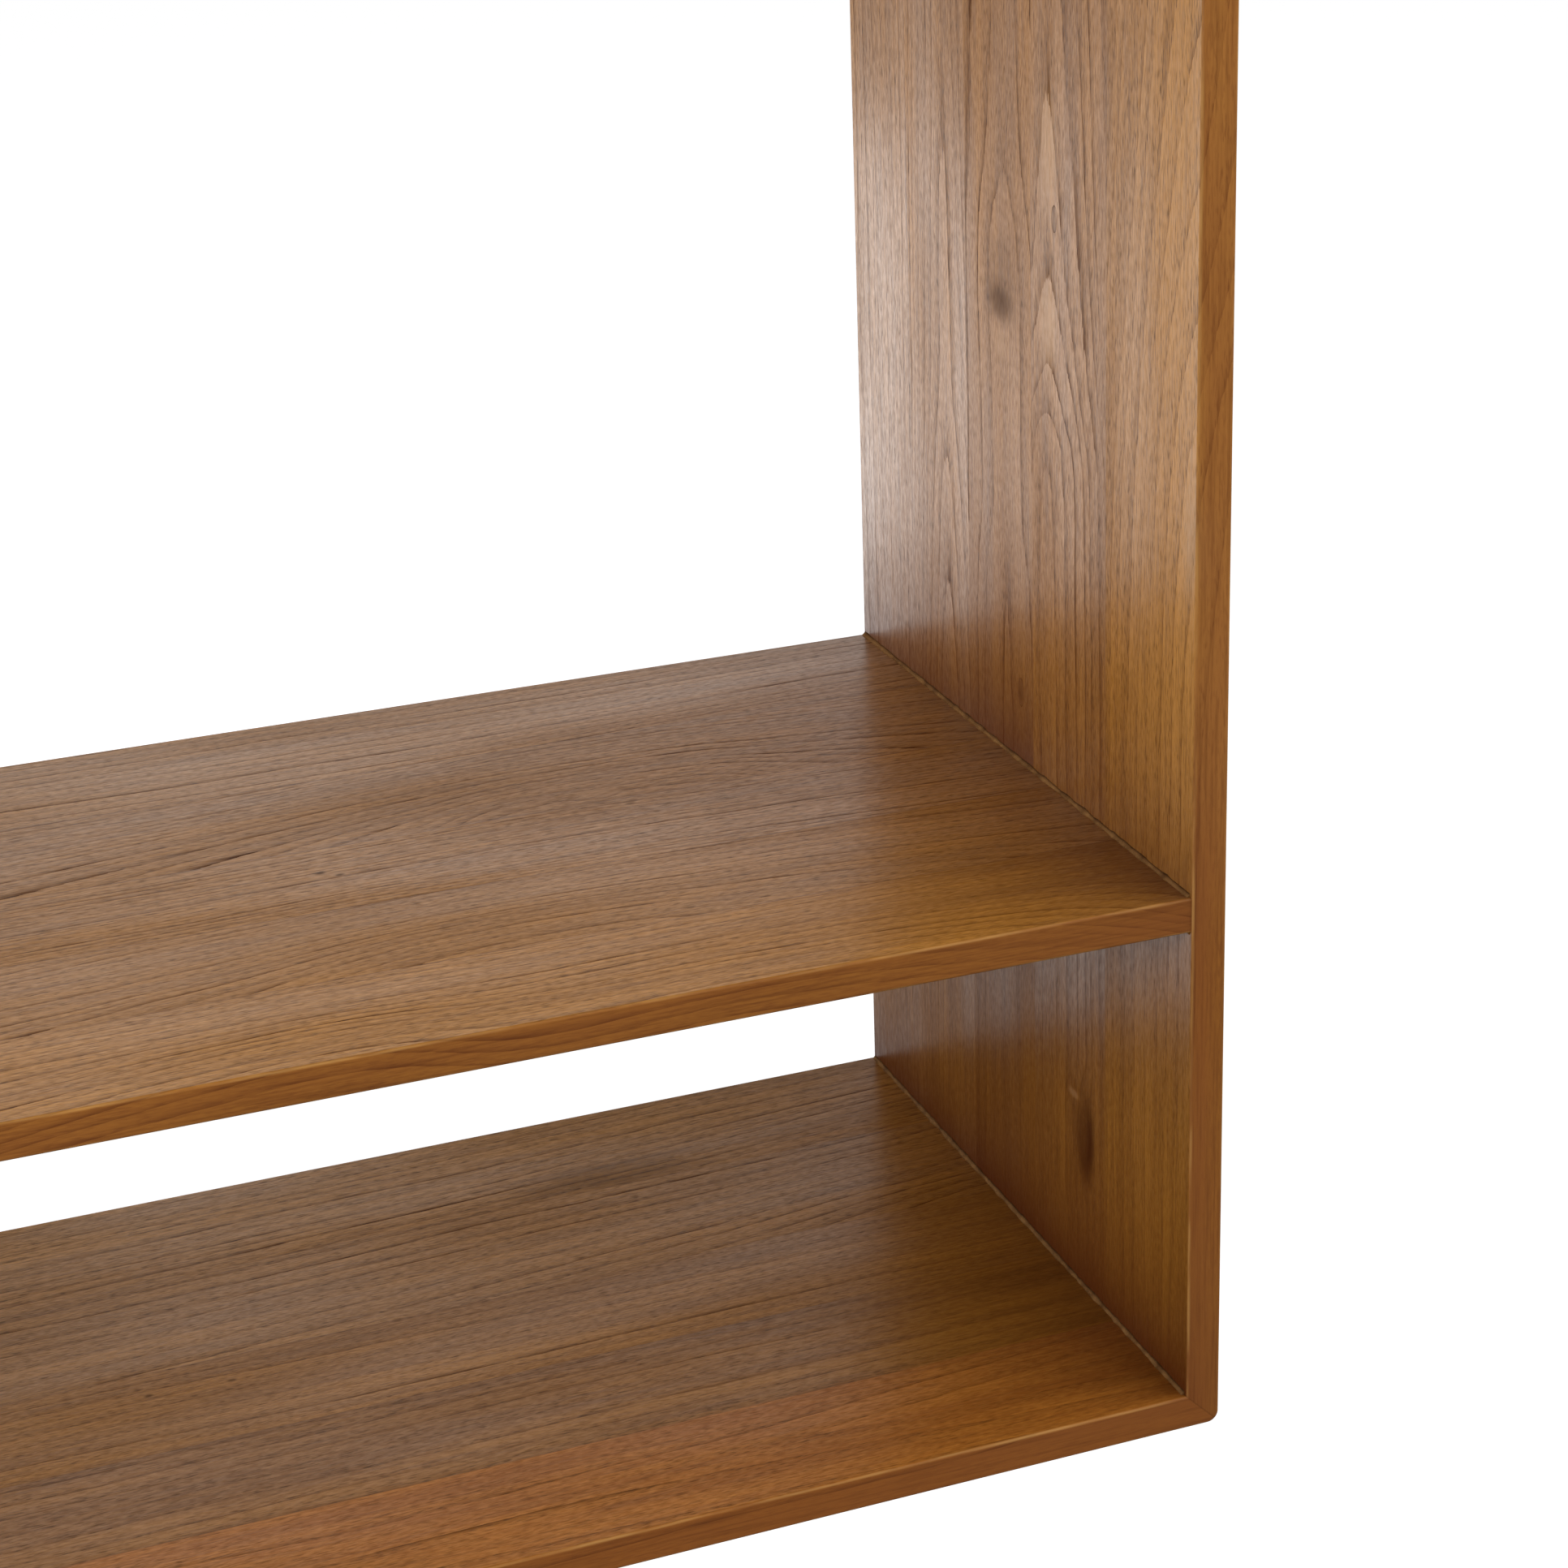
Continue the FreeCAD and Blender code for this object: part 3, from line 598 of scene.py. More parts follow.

# %% [markdown]
# ## Front edges
#
# The front edges were sanded rounder and took more stain, so they are oranger than the faces, with
# dark veins, and they shine less. Along both arrises they are painted paler: partly rubbed wood, partly
# a painted highlight where the eased arris catches the light. All that is needed is how far a point
# lies behind the front, and how far inside the thickness of the board.

# %% The front edge of a board
EDGE_STAIN = linear("#91552A")
# Pale along the arrises: partly rubbed wood, partly a painted highlight where the eased arris catches
# light.
ARRIS_WEAR_AND_HIGHLIGHT = linear("#CB9856")
BOARD_MM = 15.0
ARRIS_MM = 1.25
FACE_MM, PALE_ARRIS_MM = 0.3, 0.5
UNEVEN = between(0.3, 0.7, 0.6, 0.85)
PALE_ARRIS_SHARE = between(0.4, 0.62, 0.1, 0.6)
VEIN_SHARE = 0.6


def front_edge(tree, cut, place, depth):
    """Two shares from 0 to 1: the front face of a board, and the eased arrises on both sides of it."""
    y = add_node(tree, "ShaderNodeSeparateXYZ", {0: place}).node.outputs["Y"]
    back = add_node(tree, MATH, {0: y, 1: cut["front"]}, operation="SUBTRACT")
    back = add_node(tree, MATH, {0: back, 1: MM}, operation="MULTIPLY")
    face = add_node(tree, MAP_RANGE, {"Value": back, **between(ARRIS_MM, FACE_MM)})
    inside = add_node(tree, MATH, {0: depth}, operation="ABSOLUTE")
    inside = apart(tree, inside, BOARD_MM / 2)
    inside = add_node(tree, MATH, {0: BOARD_MM / 2, 1: inside}, operation="SUBTRACT")
    corner = add_node(tree, MATH, {0: inside, 1: back}, operation="MAXIMUM")
    reach = {"Value": corner, **between(ARRIS_MM, PALE_ARRIS_MM)}
    return face, add_node(tree, MAP_RANGE, reach)


def edge_tints(tree, marks, face, arris):
    """The tints of a front edge and their shares: stain, veins in it, and pale arrises, partly rubbed and
    partly a painted highlight.
    """
    uneven = add_node(tree, MAP_RANGE, {"Value": marks["patch"], **UNEVEN})
    stain = add_node(tree, MATH, {0: face, 1: uneven}, operation="MULTIPLY")
    veins = add_node(tree, MATH, {0: marks["line"], 1: marks["strands"]}, operation="ADD")
    for weight in (face, VEIN_SHARE):
        veins = add_node(tree, MATH, {0: veins, 1: weight}, operation="MULTIPLY")
    # Painted highlight and wear along the arrises, broken up by noise.
    pale_share = add_node(tree, MAP_RANGE, {"Value": marks["broken"], **PALE_ARRIS_SHARE})
    pale_arris = add_node(tree, MATH, {0: arris, 1: pale_share}, operation="MULTIPLY")
    return [(stain, EDGE_STAIN), (veins, CORNER_SHADE_AND_VEIN), (pale_arris, ARRIS_WEAR_AND_HIGHLIGHT)]


print("arrises eased over", ARRIS_MM, "mm of boards", BOARD_MM, "mm thick")

# %% [markdown]
# ## The lacquer, and teak as a whole
#
# Over the colour lies a satin lacquer. Principled BSDF has a coat for that, a clear layer with its own
# roughness, so the wood below can stay dull and deep. The lacquer sinks into open grain and was rubbed
# unevenly, so the weight of the coat follows the pores and lines, sparkles with the stipple and drifts
# in wide patches. Pores are also shallow pits, and a bump gives them their depth.

# %% The teak material
EDGE_GLOSS = 0.1
OPEN_GRAIN_GLOSS = 0.15
SPARKLE = between(0.3, 0.7, 0.75, 1.25)
POLISH = between(0.35, 0.65, 0.78, 1.22)
PITS = {"Strength": 0.25, "Distance": 0.0002}
DULL = {"To Min": 0.45, "To Max": 0.62}
COAT = {"Specular IOR Level": 0.0, "Coat Roughness": 0.3, "Coat IOR": 1.6}


def lacquer_gloss(tree, cut, marks):
    """How much lacquer lies on a point: less in open grain, and uneven from rubbing."""
    open_grain = marks["dashes"]
    for mark in ("line", "dark"):
        open_grain = add_node(tree, MATH, {0: open_grain, 1: marks[mark]}, operation="MAXIMUM")
    sunk = cut["gloss"] * OPEN_GRAIN_GLOSS
    gloss = add_node(tree, MAP_RANGE, {"Value": open_grain, "To Min": cut["gloss"], "To Max": sunk})
    sparkle = add_node(tree, MAP_RANGE, {"Value": marks["stipple"], **SPARKLE})
    polish = add_node(tree, MAP_RANGE, {"Value": marks["sway"], **POLISH})
    for weight in (marks["lively"], sparkle, polish):
        gloss = add_node(tree, MATH, {0: gloss, 1: weight}, operation="MULTIPLY")
    return gloss


def teak(name, cut, seed):
    """Satin lacquered teak: swaying rings, dashes of pores, and a soft mirror of the room."""
    material, tree = empty_material(name)
    place, mm = log_place(tree, cut)
    marks = wood_marks(tree, cut, mm, seed)
    tints = wood_tints(tree, cut, marks)
    gloss = lacquer_gloss(tree, cut, marks)
    if "front" in cut:
        face, arris = front_edge(tree, cut, place, marks["depth"])
        tints += edge_tints(tree, marks, face, arris)
        gloss = add_node(tree, MAP_RANGE, {"Value": face, "To Min": gloss, "To Max": EDGE_GLOSS})
    if "mitres" in cut:
        tints.append((mitre_line(tree, cut["mitres"], place), LATE_WOOD))
    pits = add_node(tree, MATH, {0: marks["dashes"], 1: marks["fibre"]}, operation="ADD")
    end_material(tree, {
        "Base Color": lay_tints(tree, linear(TONES[cut["tone"]][1]), tints),
        "Roughness": add_node(tree, MAP_RANGE, {"Value": marks["fibre"], **DULL}),
        "Normal": add_node(tree, "ShaderNodeBump", {"Height": pits, **PITS}, invert=True),
        "Coat Weight": gloss,
        **COAT,
    })
    return material


print("lacquer: coat IOR", COAT["Coat IOR"], "and roughness", COAT["Coat Roughness"])

# %% [markdown]
# ## One cut for each stave
#
# Every stave comes from another place in a log. The heart is where the log's middle lies across
# the board, in millimetres from the wall plane. The rise lists how deep the heart lies under the
# face at places along the board. Ring and line are the widths of a ring and of its dark edge. Figure
# is how strong the lines are, and faint the share that the weakest of them keeps. Calm gives two places
# along the board and the liveliness at the first, and one more number gives how far the painted shade in
# the inner corners reaches.
# A knot is a place along and across, half a length and width, a swelling in rings and a tint. The boards
# in the photograph were given the flames that it shows, and the others draw theirs from a seeded dice.

# %% Cuts of the side in the photograph
# Painted shade on the inside of the sides: a height in mm, and how much shade is painted there. The front
# staves get less of it just over the shelf.
UPRIGHT_CORNERS = ((-595, 0.95), (-383, 0.5), (-368, 0.48), (75, 0.25))
PALE_CORNERS = ((-595, 0.95), (-383, 0.5), (-368, 0.2), (75, 0.25))
CUTS = {
    "right_side_front_stave": {
        "heart": -380, "ring": 9.0, "tone": "amber", "figure": 0.55, "faint": 0.5, "line": 1.8,
        "gloss": 0.8, "sap": ((-390, -330), (105, 45)), "shade_reach": 80, "corners": PALE_CORNERS,
        "rise": ((-610, 20), (-400, 26), (-240, 36), (-75, 70), (90, 95)),
        "knots": ((-222, -345, 24, 6, 0.0, -0.5),),
    },
    "right_side_second_stave": {
        "heart": -214, "ring": 6.4, "tone": "brown", "figure": 0.95, "faint": 0.62, "line": 1.5,
        "gloss": 0.8, "shade_reach": 80, "corners": PALE_CORNERS,
        "rise": (
            (-610, 22), (-400, 22.5), (-260, 23.5), (-223, 25.6), (-202, 32), (-180, 38.4), (-141, 44.8),
            (-63, 51.2), (90, 58),
        ),
        "knots": (
            (-121, -221, 6, 3, 0.9, 0.35), (-520, -248, 28, 14, 0.6, 0.25), (-522, -251, 20, 8, 1.6, 0.95),
            (-519, -249.5, 15, 5, 0.0, -0.5), (-505, -239, 2, 5, 0.0, -0.8),
            (-92, -215, 26, 8, 0.0, -0.5), (-166, -215, 20, 8, 0.0, -0.55),
        ),
    },
    "right_side_middle_stave": {
        "heart": -172, "ring": 10.0, "tone": "brown", "figure": 1.0, "faint": 0.65, "line": 1.5,
        "gloss": 0.7, "shade_reach": 80,
        "rise": ((-610, 24), (-400, 26), (-290, 30), (-260, 34), (-145, 34.5), (-101, 40), (90, 44)),
        "knots": (
            (-167, -166, 8, 14, 0.0, 0.5), (-156, -170, 18, 16, 0.0, 0.25), (-184, -166, 7, 8, 0.0, -0.3),
            (-336, -185, 6, 3, 0.8, 0.5),
        ),
    },
    "right_side_fourth_stave": {
        "heart": -106, "ring": 4.0, "tone": "brown", "figure": 0.75, "faint": 0.5, "gloss": 0.82,
        "rise": ((-610, 14), (-302, 24), (-247, 28), (-220, 30.2), (-150, 31), (-92, 32), (90, 34)),
    },
    "right_side_rear_stave": {
        "heart": 60, "ring": 5.0, "tone": "brown", "figure": 0.7, "faint": 0.3,
        "rise": ((-610, 22), (-200, 30), (90, 24)),
    },
}
print(len(CUTS), "staves of the side cut after the photograph")

# %% Cuts of the shelf in the photograph
CUTS.update({
    "shelf_front_stave": {
        "heart": -372, "ring": 4.0, "tone": "honey", "figure": 1.0, "faint": 0.3, "calm": (385, 150, 0.6),
        "corners": ((-385, 0.65), (385, 0.65)), "shade_reach": 90,
        "rise": ((-385, 70), (-100, 40), (0, 26), (40, 24), (120, 34), (200, 32), (300, 40), (385, 60)),
    },
    "shelf_second_stave": {
        "heart": -300, "ring": 3.6, "tone": "amber", "figure": 0.9, "faint": 0.3,
        "rise": ((-385, 66), (0, 44), (100, 28), (150, 24), (220, 32), (300, 44), (385, 56)),
    },
    "shelf_middle_stave": {
        "heart": -320, "ring": 3.3, "tone": "amber", "figure": 0.95, "faint": 0.25, "gloss": 0.8,
        "rise": ((-385, 60), (0, 44), (150, 20), (260, 40), (385, 60)),
        "knots": ((75, -178, 2.5, 1.4, 0.0, 0.8), (82, -183, 2.0, 1.2, 0.0, 0.7)),
    },
    "shelf_fourth_stave": {
        "heart": -165, "ring": 3.5, "tone": "amber", "figure": 0.95, "faint": 0.3,
        "rise": ((-385, 74), (0, 52), (120, 36), (190, 22), (225, 22), (300, 40), (385, 54)),
        "knots": ((203, -146, 10, 5, 0.8, 0.12), (204, -142, 8, 4, 0.0, -0.3)),
    },
    "shelf_rear_stave": {
        "heart": -150, "ring": 5.6, "tone": "honey", "figure": 1.0, "faint": 0.35, "gloss": 0.85,
        "rise": ((-385, 46), (60, 44), (200, 40), (300, 26), (385, 10)),
    },
})
print(len(CUTS), "staves cut, with those of the shelf")

# %% Cuts of the bottom in the photograph
CUTS.update({
    "bottom_front_stave": {
        "heart": -313, "ring": 8.0, "tone": "ruddy", "figure": 0.8, "faint": 0.5, "line": 1.2,
        "corners": ((-385, 0.5), (385, 0.5)), "shade_reach": 80, "calm": (380, 220, 0.5),
        "rise": ((-385, 44), (-60, 39.5), (60, 43), (217, 40), (385, 32)),
    },
    "bottom_second_stave": {
        "heart": -360, "ring": 10.0, "tone": "umber", "figure": 0.9, "faint": 0.4,
        "rise": ((-385, 36), (385, 28)), "calm": (350, 250, 0.3),
    },
    "bottom_middle_stave": {
        "heart": -330, "ring": 7.0, "tone": "brown", "figure": 0.9, "faint": 0.2, "gloss": 0.55,
        "rise": ((-385, 26), (385, 36)), "calm": (390, 290, 0.4),
        "knots": (
            (-15, -171, 2, 1.2, 0.0, 0.7), (20, -173, 2, 1.2, 0.0, 0.6), (90, -217, 3, 1.5, 0.0, 0.6),
        ),
    },
    "bottom_fourth_stave": {
        "heart": -190, "ring": 8.0, "tone": "amber", "figure": 1.0, "faint": 0.2, "gloss": 0.55,
        "rise": ((-385, 74), (0, 63), (200, 50), (300, 36), (385, 10)),
    },
    "bottom_rear_stave": {
        "heart": -130, "ring": 6.0, "tone": "honey", "figure": 1.0, "faint": 0.25, "gloss": 0.52,
        "rise": ((-385, 76), (0, 64), (200, 50), (300, 36), (385, 10)),
        "knots": ((225, -66, 45, 14, 0.0, 0.35),),
    },
})
print(len(CUTS), "staves cut, with those of the bottom")

# %% [markdown]
# ## Boards, and every stave dressed
#
# What the staves of a board share stands here once: which way the grain runs, where its face lies,
# which faces look into the box, where and how far painted shade darkens its inner corners, its gloss
# and its mitres. A cut adds to it or changes it. Then each stave gets a material of its own, with its own
# seed, so no two are alike.

# %% The boards
FLAT, UPRIGHT = 0.0, math.radians(90)
half_width, foot, head = cad_box[1][0], cad_box[0][2], cad_box[1][2]
LOW_MITRE, HIGH_MITRE = (half_width + foot, 1.0), (half_width - head, -1.0)
INNER_IS_FACE, INNER_IS_BACK, INNER_IS_BOTH = (BOARD_MM, 0.0), (0.0, BOARD_MM), (-1.0, 0.0)
SIDE = {
    "turn": UPRIGHT, "ends": (-610, 90), "corners": UPRIGHT_CORNERS, "shade_reach": 60, "inner": INNER_IS_FACE,
    "gloss": 0.9, "line": 1.2, "seam": 0.08, "mitres": (LOW_MITRE, HIGH_MITRE),
}
LYING = {"turn": FLAT, "ends": (-400, 400), "corners": ((-385, 0.45), (385, 0.45)), "shade_reach": 50}
BOARDS = {
    "right_side": {**SIDE, "face": -385.0, "calm": (-540, -400, 0.45)},
    "left_side": {**SIDE, "face": 385.0},
    "bottom": {
        **LYING, "face": -595.0, "inner": INNER_IS_FACE,
        "gloss": 0.65, "line": 1.7, "seam": 0.25, "mitres": (LOW_MITRE,),
    },
    "shelf": {**LYING, "face": -368.0, "inner": INNER_IS_BOTH, "gloss": 0.74, "line": 1.2, "seam": 0.5},
    "top": {
        **LYING, "face": 90.0, "inner": INNER_IS_BACK,
        "gloss": 0.65, "line": 1.5, "seam": 0.3, "mitres": (HIGH_MITRE,),
    },
}
print(len(BOARDS), "boards:", ", ".join(BOARDS))

# %% Free cuts, and the material of every stave
import random

STAVES = ("front", "second", "middle", "fourth", "rear")
DICE_SEED = 11
FREE_DEPTHS, FREE_RINGS, FREE_FIGURES, FREE_FAINT = (22, 52), (3.6, 7.0), (0.5, 0.8), 0.2
HEART_OFF_MM = 30
RISE_STEPS = 3
FAR_SEAM = 50.0
NOT_CALM = (-2000.0, -1000.0, 1.0)
SEED_STEP = 3.7
dice = random.Random(DICE_SEED)


def free_cut(node, ends):
    """A cut drawn from the dice: the heart lies on or beside the stave, and its depth drifts."""
    low, high = (corner.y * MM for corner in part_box(node))
    depths = [dice.uniform(*FREE_DEPTHS) for _ in range(RISE_STEPS + 1)]
    spots = [ends[0] + (ends[1] - ends[0]) * i / RISE_STEPS for i in range(RISE_STEPS + 1)]
    return {
        "heart": dice.uniform(low - HEART_OFF_MM, high + HEART_OFF_MM),
        "ring": dice.uniform(*FREE_RINGS),
        "tone": dice.choice(sorted(TONES)),
        "figure": dice.uniform(*FREE_FIGURES),
        "faint": FREE_FAINT,
        "rise": tuple(zip(spots, depths)),
    }


def dress(node, material):
    """Give a CAD node one material in every slot that it has."""
    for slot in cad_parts[node].material_slots:
        slot.material = material


number = 0
for board, facts in BOARDS.items():
    for stave in STAVES:
        node = f"{board}_{stave}_stave"
        number += 1
        own = CUTS.get(node) or free_cut(node, facts["ends"])
        cut = {"knots": (), "calm": NOT_CALM, **facts, **own}
        low, high = (corner.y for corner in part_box(node))
        cut["seams"] = [low * MM, high * MM]
        if stave == "front":
            cut["front"] = low
            cut["seams"][0] -= FAR_SEAM
        if stave == "rear":
            cut["seams"][1] += FAR_SEAM
        dress(node, teak(f"lacquered_teak_{node}", cut, SEED_STEP * number))
print(number, "staves dressed in teak")

# %% [markdown]
# ## Filler in the inner corners
#
# Where two boards meet inside the box, the maker wiped a thin bead of filler into the corner. It dried
# paler than the wood beside it, and uneven. A bead is one small shape that follows a line, so Geometry
# Nodes sweep a hollow, four-cornered profile along each corner. The line carries a direction, which
# points out of the corner, and the profile turns to it. A noise makes the bead thicker and thinner.

# %% A plain finish for filler and metal
PATCHES = between(0.3, 0.7)
GRIT = {"Strength": 0.2, "Distance": 0.0001}
GRIT_FINER = 4


def dusty_finish(name, tones, patch_mm, roughness, **constants):
    """A plain finish: colour and roughness drift in patches, with a fine grit over them."""
    material, tree = empty_material(name)
    place = add_node(tree, "ShaderNodeTexCoord", give="Object")
    patch = add_node(tree, NOISE, {"Vector": place, "Scale": MM / patch_mm, "Detail": 4.0})
    drift = add_node(tree, MAP_RANGE, {"Value": patch, **PATCHES})
    dull = {"Value": drift, "To Min": roughness[0], "To Max": roughness[1]}
    grit = {"Vector": place, "Scale": GRIT_FINER * MM / patch_mm, "Detail": 2.0}
    grit = add_node(tree, NOISE, grit)
    end_material(tree, {
        "Base Color": lay_tints(tree, linear(tones[0]), [(drift, linear(tones[1]))]),
        "Roughness": add_node(tree, MAP_RANGE, dull),
        "Normal": add_node(tree, "ShaderNodeBump", {"Height": grit, **GRIT}),
        **constants,
    })
    return material


FILLER = {"tones": ("#5A3A1A", "#8E673C"), "patch_mm": 7.0, "roughness": (0.7, 0.9)}
filler = dusty_finish("dried_wood_filler", **FILLER, **{"Specular IOR Level": 0.1})
print("filler finish:", filler.name)

# %% How a node tree starts and ends, and how what it makes is kept
def new_tree(name, sockets):
    """An empty node tree with named inputs and one output, and the sockets that its inputs feed."""
    tree = bpy.data.node_groups.new(name, "GeometryNodeTree")
    for socket, kind in sockets.items():
        tree.interface.new_socket(socket, in_out="INPUT", socket_type=kind)
    tree.interface.new_socket("Made", in_out="OUTPUT", socket_type="NodeSocketGeometry")
    return tree, add_node(tree, "NodeGroupInput").node.outputs


def end_tree(tree, made, finish):
    """The end of a tree: its instances become real, take their material and go out."""
    made = add_node(tree, "GeometryNodeRealizeInstances", {"Geometry": made})
    made = add_node(tree, "GeometryNodeSetMaterial", {"Geometry": made, "Material": finish})
    add_node(tree, "NodeGroupOutput", {0: made})


def keep_made(name, seeds, tree, values):
    """Run a tree over a mesh of seeds and keep the result as a plain mesh, with no modifier left."""
    maker = bpy.data.objects.new(name + "_maker", seeds)
    scene.collection.objects.link(maker)
    modifier = maker.modifiers.new(name, "NODES")
    modifier.node_group = tree
    for socket in tree.interface.items_tree:
        if socket.name in values:
            modifier[socket.identifier] = values[socket.name]
    graph = bpy.context.evaluated_depsgraph_get()
    mesh = bpy.data.meshes.new_from_object(maker.evaluated_get(graph), depsgraph=graph)
    maker.modifiers.remove(modifier)
    bpy.data.objects.remove(maker)
    made = bpy.data.objects.new(name, mesh)
    scene.collection.objects.link(made)
    return made


print("node trees so far:", len(bpy.data.node_groups))

# %% Paths along eight corners
BEAD_ENDS = (-0.3475, -0.0015)
bottom, shelf, top = (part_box(f"{board}_front_stave") for board in ("bottom", "shelf", "top"))
inner_x = shelf[1].x
corners = ((bottom[1].z, 1), (shelf[0].z, -1), (shelf[1].z, 1), (top[0].z, -1))
lines = [(side * inner_x, z, (-side, 0.0, way)) for side in (-1, 1) for z, way in corners]
spots = [(x, y, z) for x, z, _ in lines for y in BEAD_ENDS]
pairs = [(2 * i, 2 * i + 1) for i in range(len(lines))]
paths = bpy.data.meshes.new("bead_paths")
paths.from_pydata(spots, pairs, [])
outward = paths.attributes.new("outward", "FLOAT_VECTOR", "POINT")
for pair, (*_, way) in zip(pairs, lines):
    for end in pair:
        outward.data[end].vector = way
print(len(pairs), "paths of", round((BEAD_ENDS[1] - BEAD_ENDS[0]) * MM), "mm")

# %% Beads along the paths
BEAD_MM = 1.9
BEAD_STEP = 0.004
BEAD_SEED = 5.0
KITE = ((-0.1, 0.0, 0.0), (0.7, -0.7, 0.0), (0.62, 0.0, 0.0), (0.7, 0.7, 0.0))
LUMP_SCALE = 130.0
LUMPS = between(0.3, 0.7, 0.45, 1.1)

tree, given = new_tree("filler_beads", {
    "Corners": "NodeSocketGeometry", "Leg": "NodeSocketFloat", "Step": "NodeSocketFloat",
    "Seed": "NodeSocketFloat", "Finish": "NodeSocketMaterial",
})
curve = add_node(tree, "GeometryNodeMeshToCurve", {"Mesh": given["Corners"]})
evenly = {"Curve": curve, "Length": given["Step"]}
curve = add_node(tree, "GeometryNodeResampleCurve", evenly, mode="LENGTH")
way = add_node(tree, "GeometryNodeInputNamedAttribute", {"Name": "outward"}, data_type="FLOAT_VECTOR")
curve = add_node(tree, "GeometryNodeSetCurveNormal", {"Curve": curve, "Normal": way}, mode="FREE")
kite = {f"Point {i + 1}": spot for i, spot in enumerate(KITE)}
profile = add_node(tree, "GeometryNodeCurvePrimitiveQuadrilateral", kite, mode="POINTS")
lumps = add_node(tree, NOISE, {"W": given["Seed"], "Scale": LUMP_SCALE}, noise_dimensions="4D")
lumps = add_node(tree, MAP_RANGE, {"Value": lumps, **LUMPS})
thick = add_node(tree, MATH, {0: lumps, 1: given["Leg"]}, operation="MULTIPLY")
sweep = {"Curve": curve, "Profile Curve": profile, "Scale": thick, "Fill Caps": True}
beads = add_node(tree, "GeometryNodeCurveToMesh", sweep)
end_tree(tree, beads, given["Finish"])
sizes = {"Leg": BEAD_MM / MM, "Step": BEAD_STEP, "Seed": BEAD_SEED, "Finish": filler}
beads = keep_made("filler_beads", paths, tree, sizes)
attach(beads, "root")
print("beads:", len(beads.data.polygons), "faces, size", [round(v * MM) for v in beads.dimensions], "mm")

# %% [markdown]
# ## Hangers and their screws
#
# The shelf hangs on two keyhole plates let into the back edges of the sides. They are pressed from
# zinc plated sheet, which looks cloudy and cool. Each is held by two small countersunk screws with a
# cross recess. A turned screw is drawn once as rows of points round its axis: the thread is a ridge
# that climbs with the angle. A node tree then cuts the cross, sets a screw into each hole and turns it
# by a seeded dice, because no two screws stop at the same angle.

# %% Zinc on the plates and screws
ZINC = {"tones": ("#9EA3A6", "#C3C7C9"), "patch_mm": 9.0, "roughness": (0.28, 0.5)}
zinc = dusty_finish("zinc_plated_steel", **ZINC, Metallic=1.0)
for node in ("left_hanger_plate", "right_hanger_plate"):
    dress(node, zinc)
print("plates in", zinc.name)

# %% One screw, turned in rows of points
SHANK_MM, HEAD_MM, HEAD_DEEP_MM = 1.5, 2.7, 1.2
SCREW_MM, POINT_MM = 16.0, 3.0
PITCH_MM, RIDGE_MM = 1.2, 0.45
ROUND_STEPS, ROW_MM = 20, 0.2


def screw_radius(deep, turn):
    """The radius of the screw at a depth below the head's face, at a share of a turn."""
    if deep <= HEAD_DEEP_MM:
        return HEAD_MM + (SHANK_MM - HEAD_MM) * deep / HEAD_DEEP_MM
    ridge = abs((deep / PITCH_MM + turn) % 1.0 - 0.5) * 2
    full = SHANK_MM - RIDGE_MM * ridge
    return full * min(1.0, (SCREW_MM - deep) / POINT_MM)


rows = int(round(SCREW_MM / ROW_MM))
spots = [(0.0, 0.0, 0.0)]
for row in range(rows):
    for step in range(ROUND_STEPS):
        turn = step / ROUND_STEPS
        radius = screw_radius(row * ROW_MM, turn) / MM
        angle = math.tau * turn
        spots.append((radius * math.cos(angle), -row * ROW_MM / MM, radius * math.sin(angle)))
spots.append((0.0, -SCREW_MM / MM, 0.0))
faces = []
for step in range(ROUND_STEPS):
    after = (step + 1) % ROUND_STEPS
    faces.append((0, 1 + after, 1 + step))
    for row in range(rows - 1):
        here, below = 1 + row * ROUND_STEPS, 1 + (row + 1) * ROUND_STEPS
        faces.append((here + step, here + after, below + after, below + step))
    last = 1 + (rows - 1) * ROUND_STEPS
    faces.append((last + step, last + after, len(spots) - 1))
screw_mesh = bpy.data.meshes.new("screw")
screw_mesh.from_pydata(spots, [], faces)
screw = bpy.data.objects.new("screw", screw_mesh)
print("screw:", len(faces), "faces")

# %% Four screws in the plates
PLATE_END = 0.007
SPIN_SEED = 4
CROSS = {"Slot Length": 0.003, "Slot Width": 0.0008, "Slot Depth": 0.0018}
low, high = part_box("right_hanger_plate")
side, middle = (low.x + high.x) / 2, (low.z + high.z) / 2
reach = (high.z - low.z) / 2 - PLATE_END
places = [(x, 0.0, middle + z) for x in (-side, side) for z in (-reach, reach)]
holes = bpy.data.meshes.new("screw_holes")
holes.from_pydata(places, [], [])

tree, given = new_tree("hanger_screws", {
    "Holes": "NodeSocketGeometry", "Screw": "NodeSocketObject", "Slot Length": "NodeSocketFloat",
    "Slot Width": "NodeSocketFloat", "Slot Depth": "NodeSocketFloat", "Seed": "NodeSocketInt",
    "Finish": "NodeSocketMaterial",
})
body = add_node(tree, "GeometryNodeObjectInfo", {"Object": given["Screw"]}, give="Geometry")
long_x = {0: given["Slot Length"], 1: given["Slot Depth"], 2: given["Slot Width"]}
long_z = {0: given["Slot Width"], 1: given["Slot Depth"], 2: given["Slot Length"]}
for size in (long_x, long_z):
    block = {"Size": add_node(tree, "ShaderNodeCombineXYZ", size)}
    parted = {"Mesh 1": body, "Mesh 2": add_node(tree, "GeometryNodeMeshCube", block)}
    body = add_node(tree, "GeometryNodeMeshBoolean", parted, operation="DIFFERENCE")
spin = {0: (0.0, 0.0, 0.0), 1: (0.0, math.tau, 0.0), "Seed": given["Seed"]}
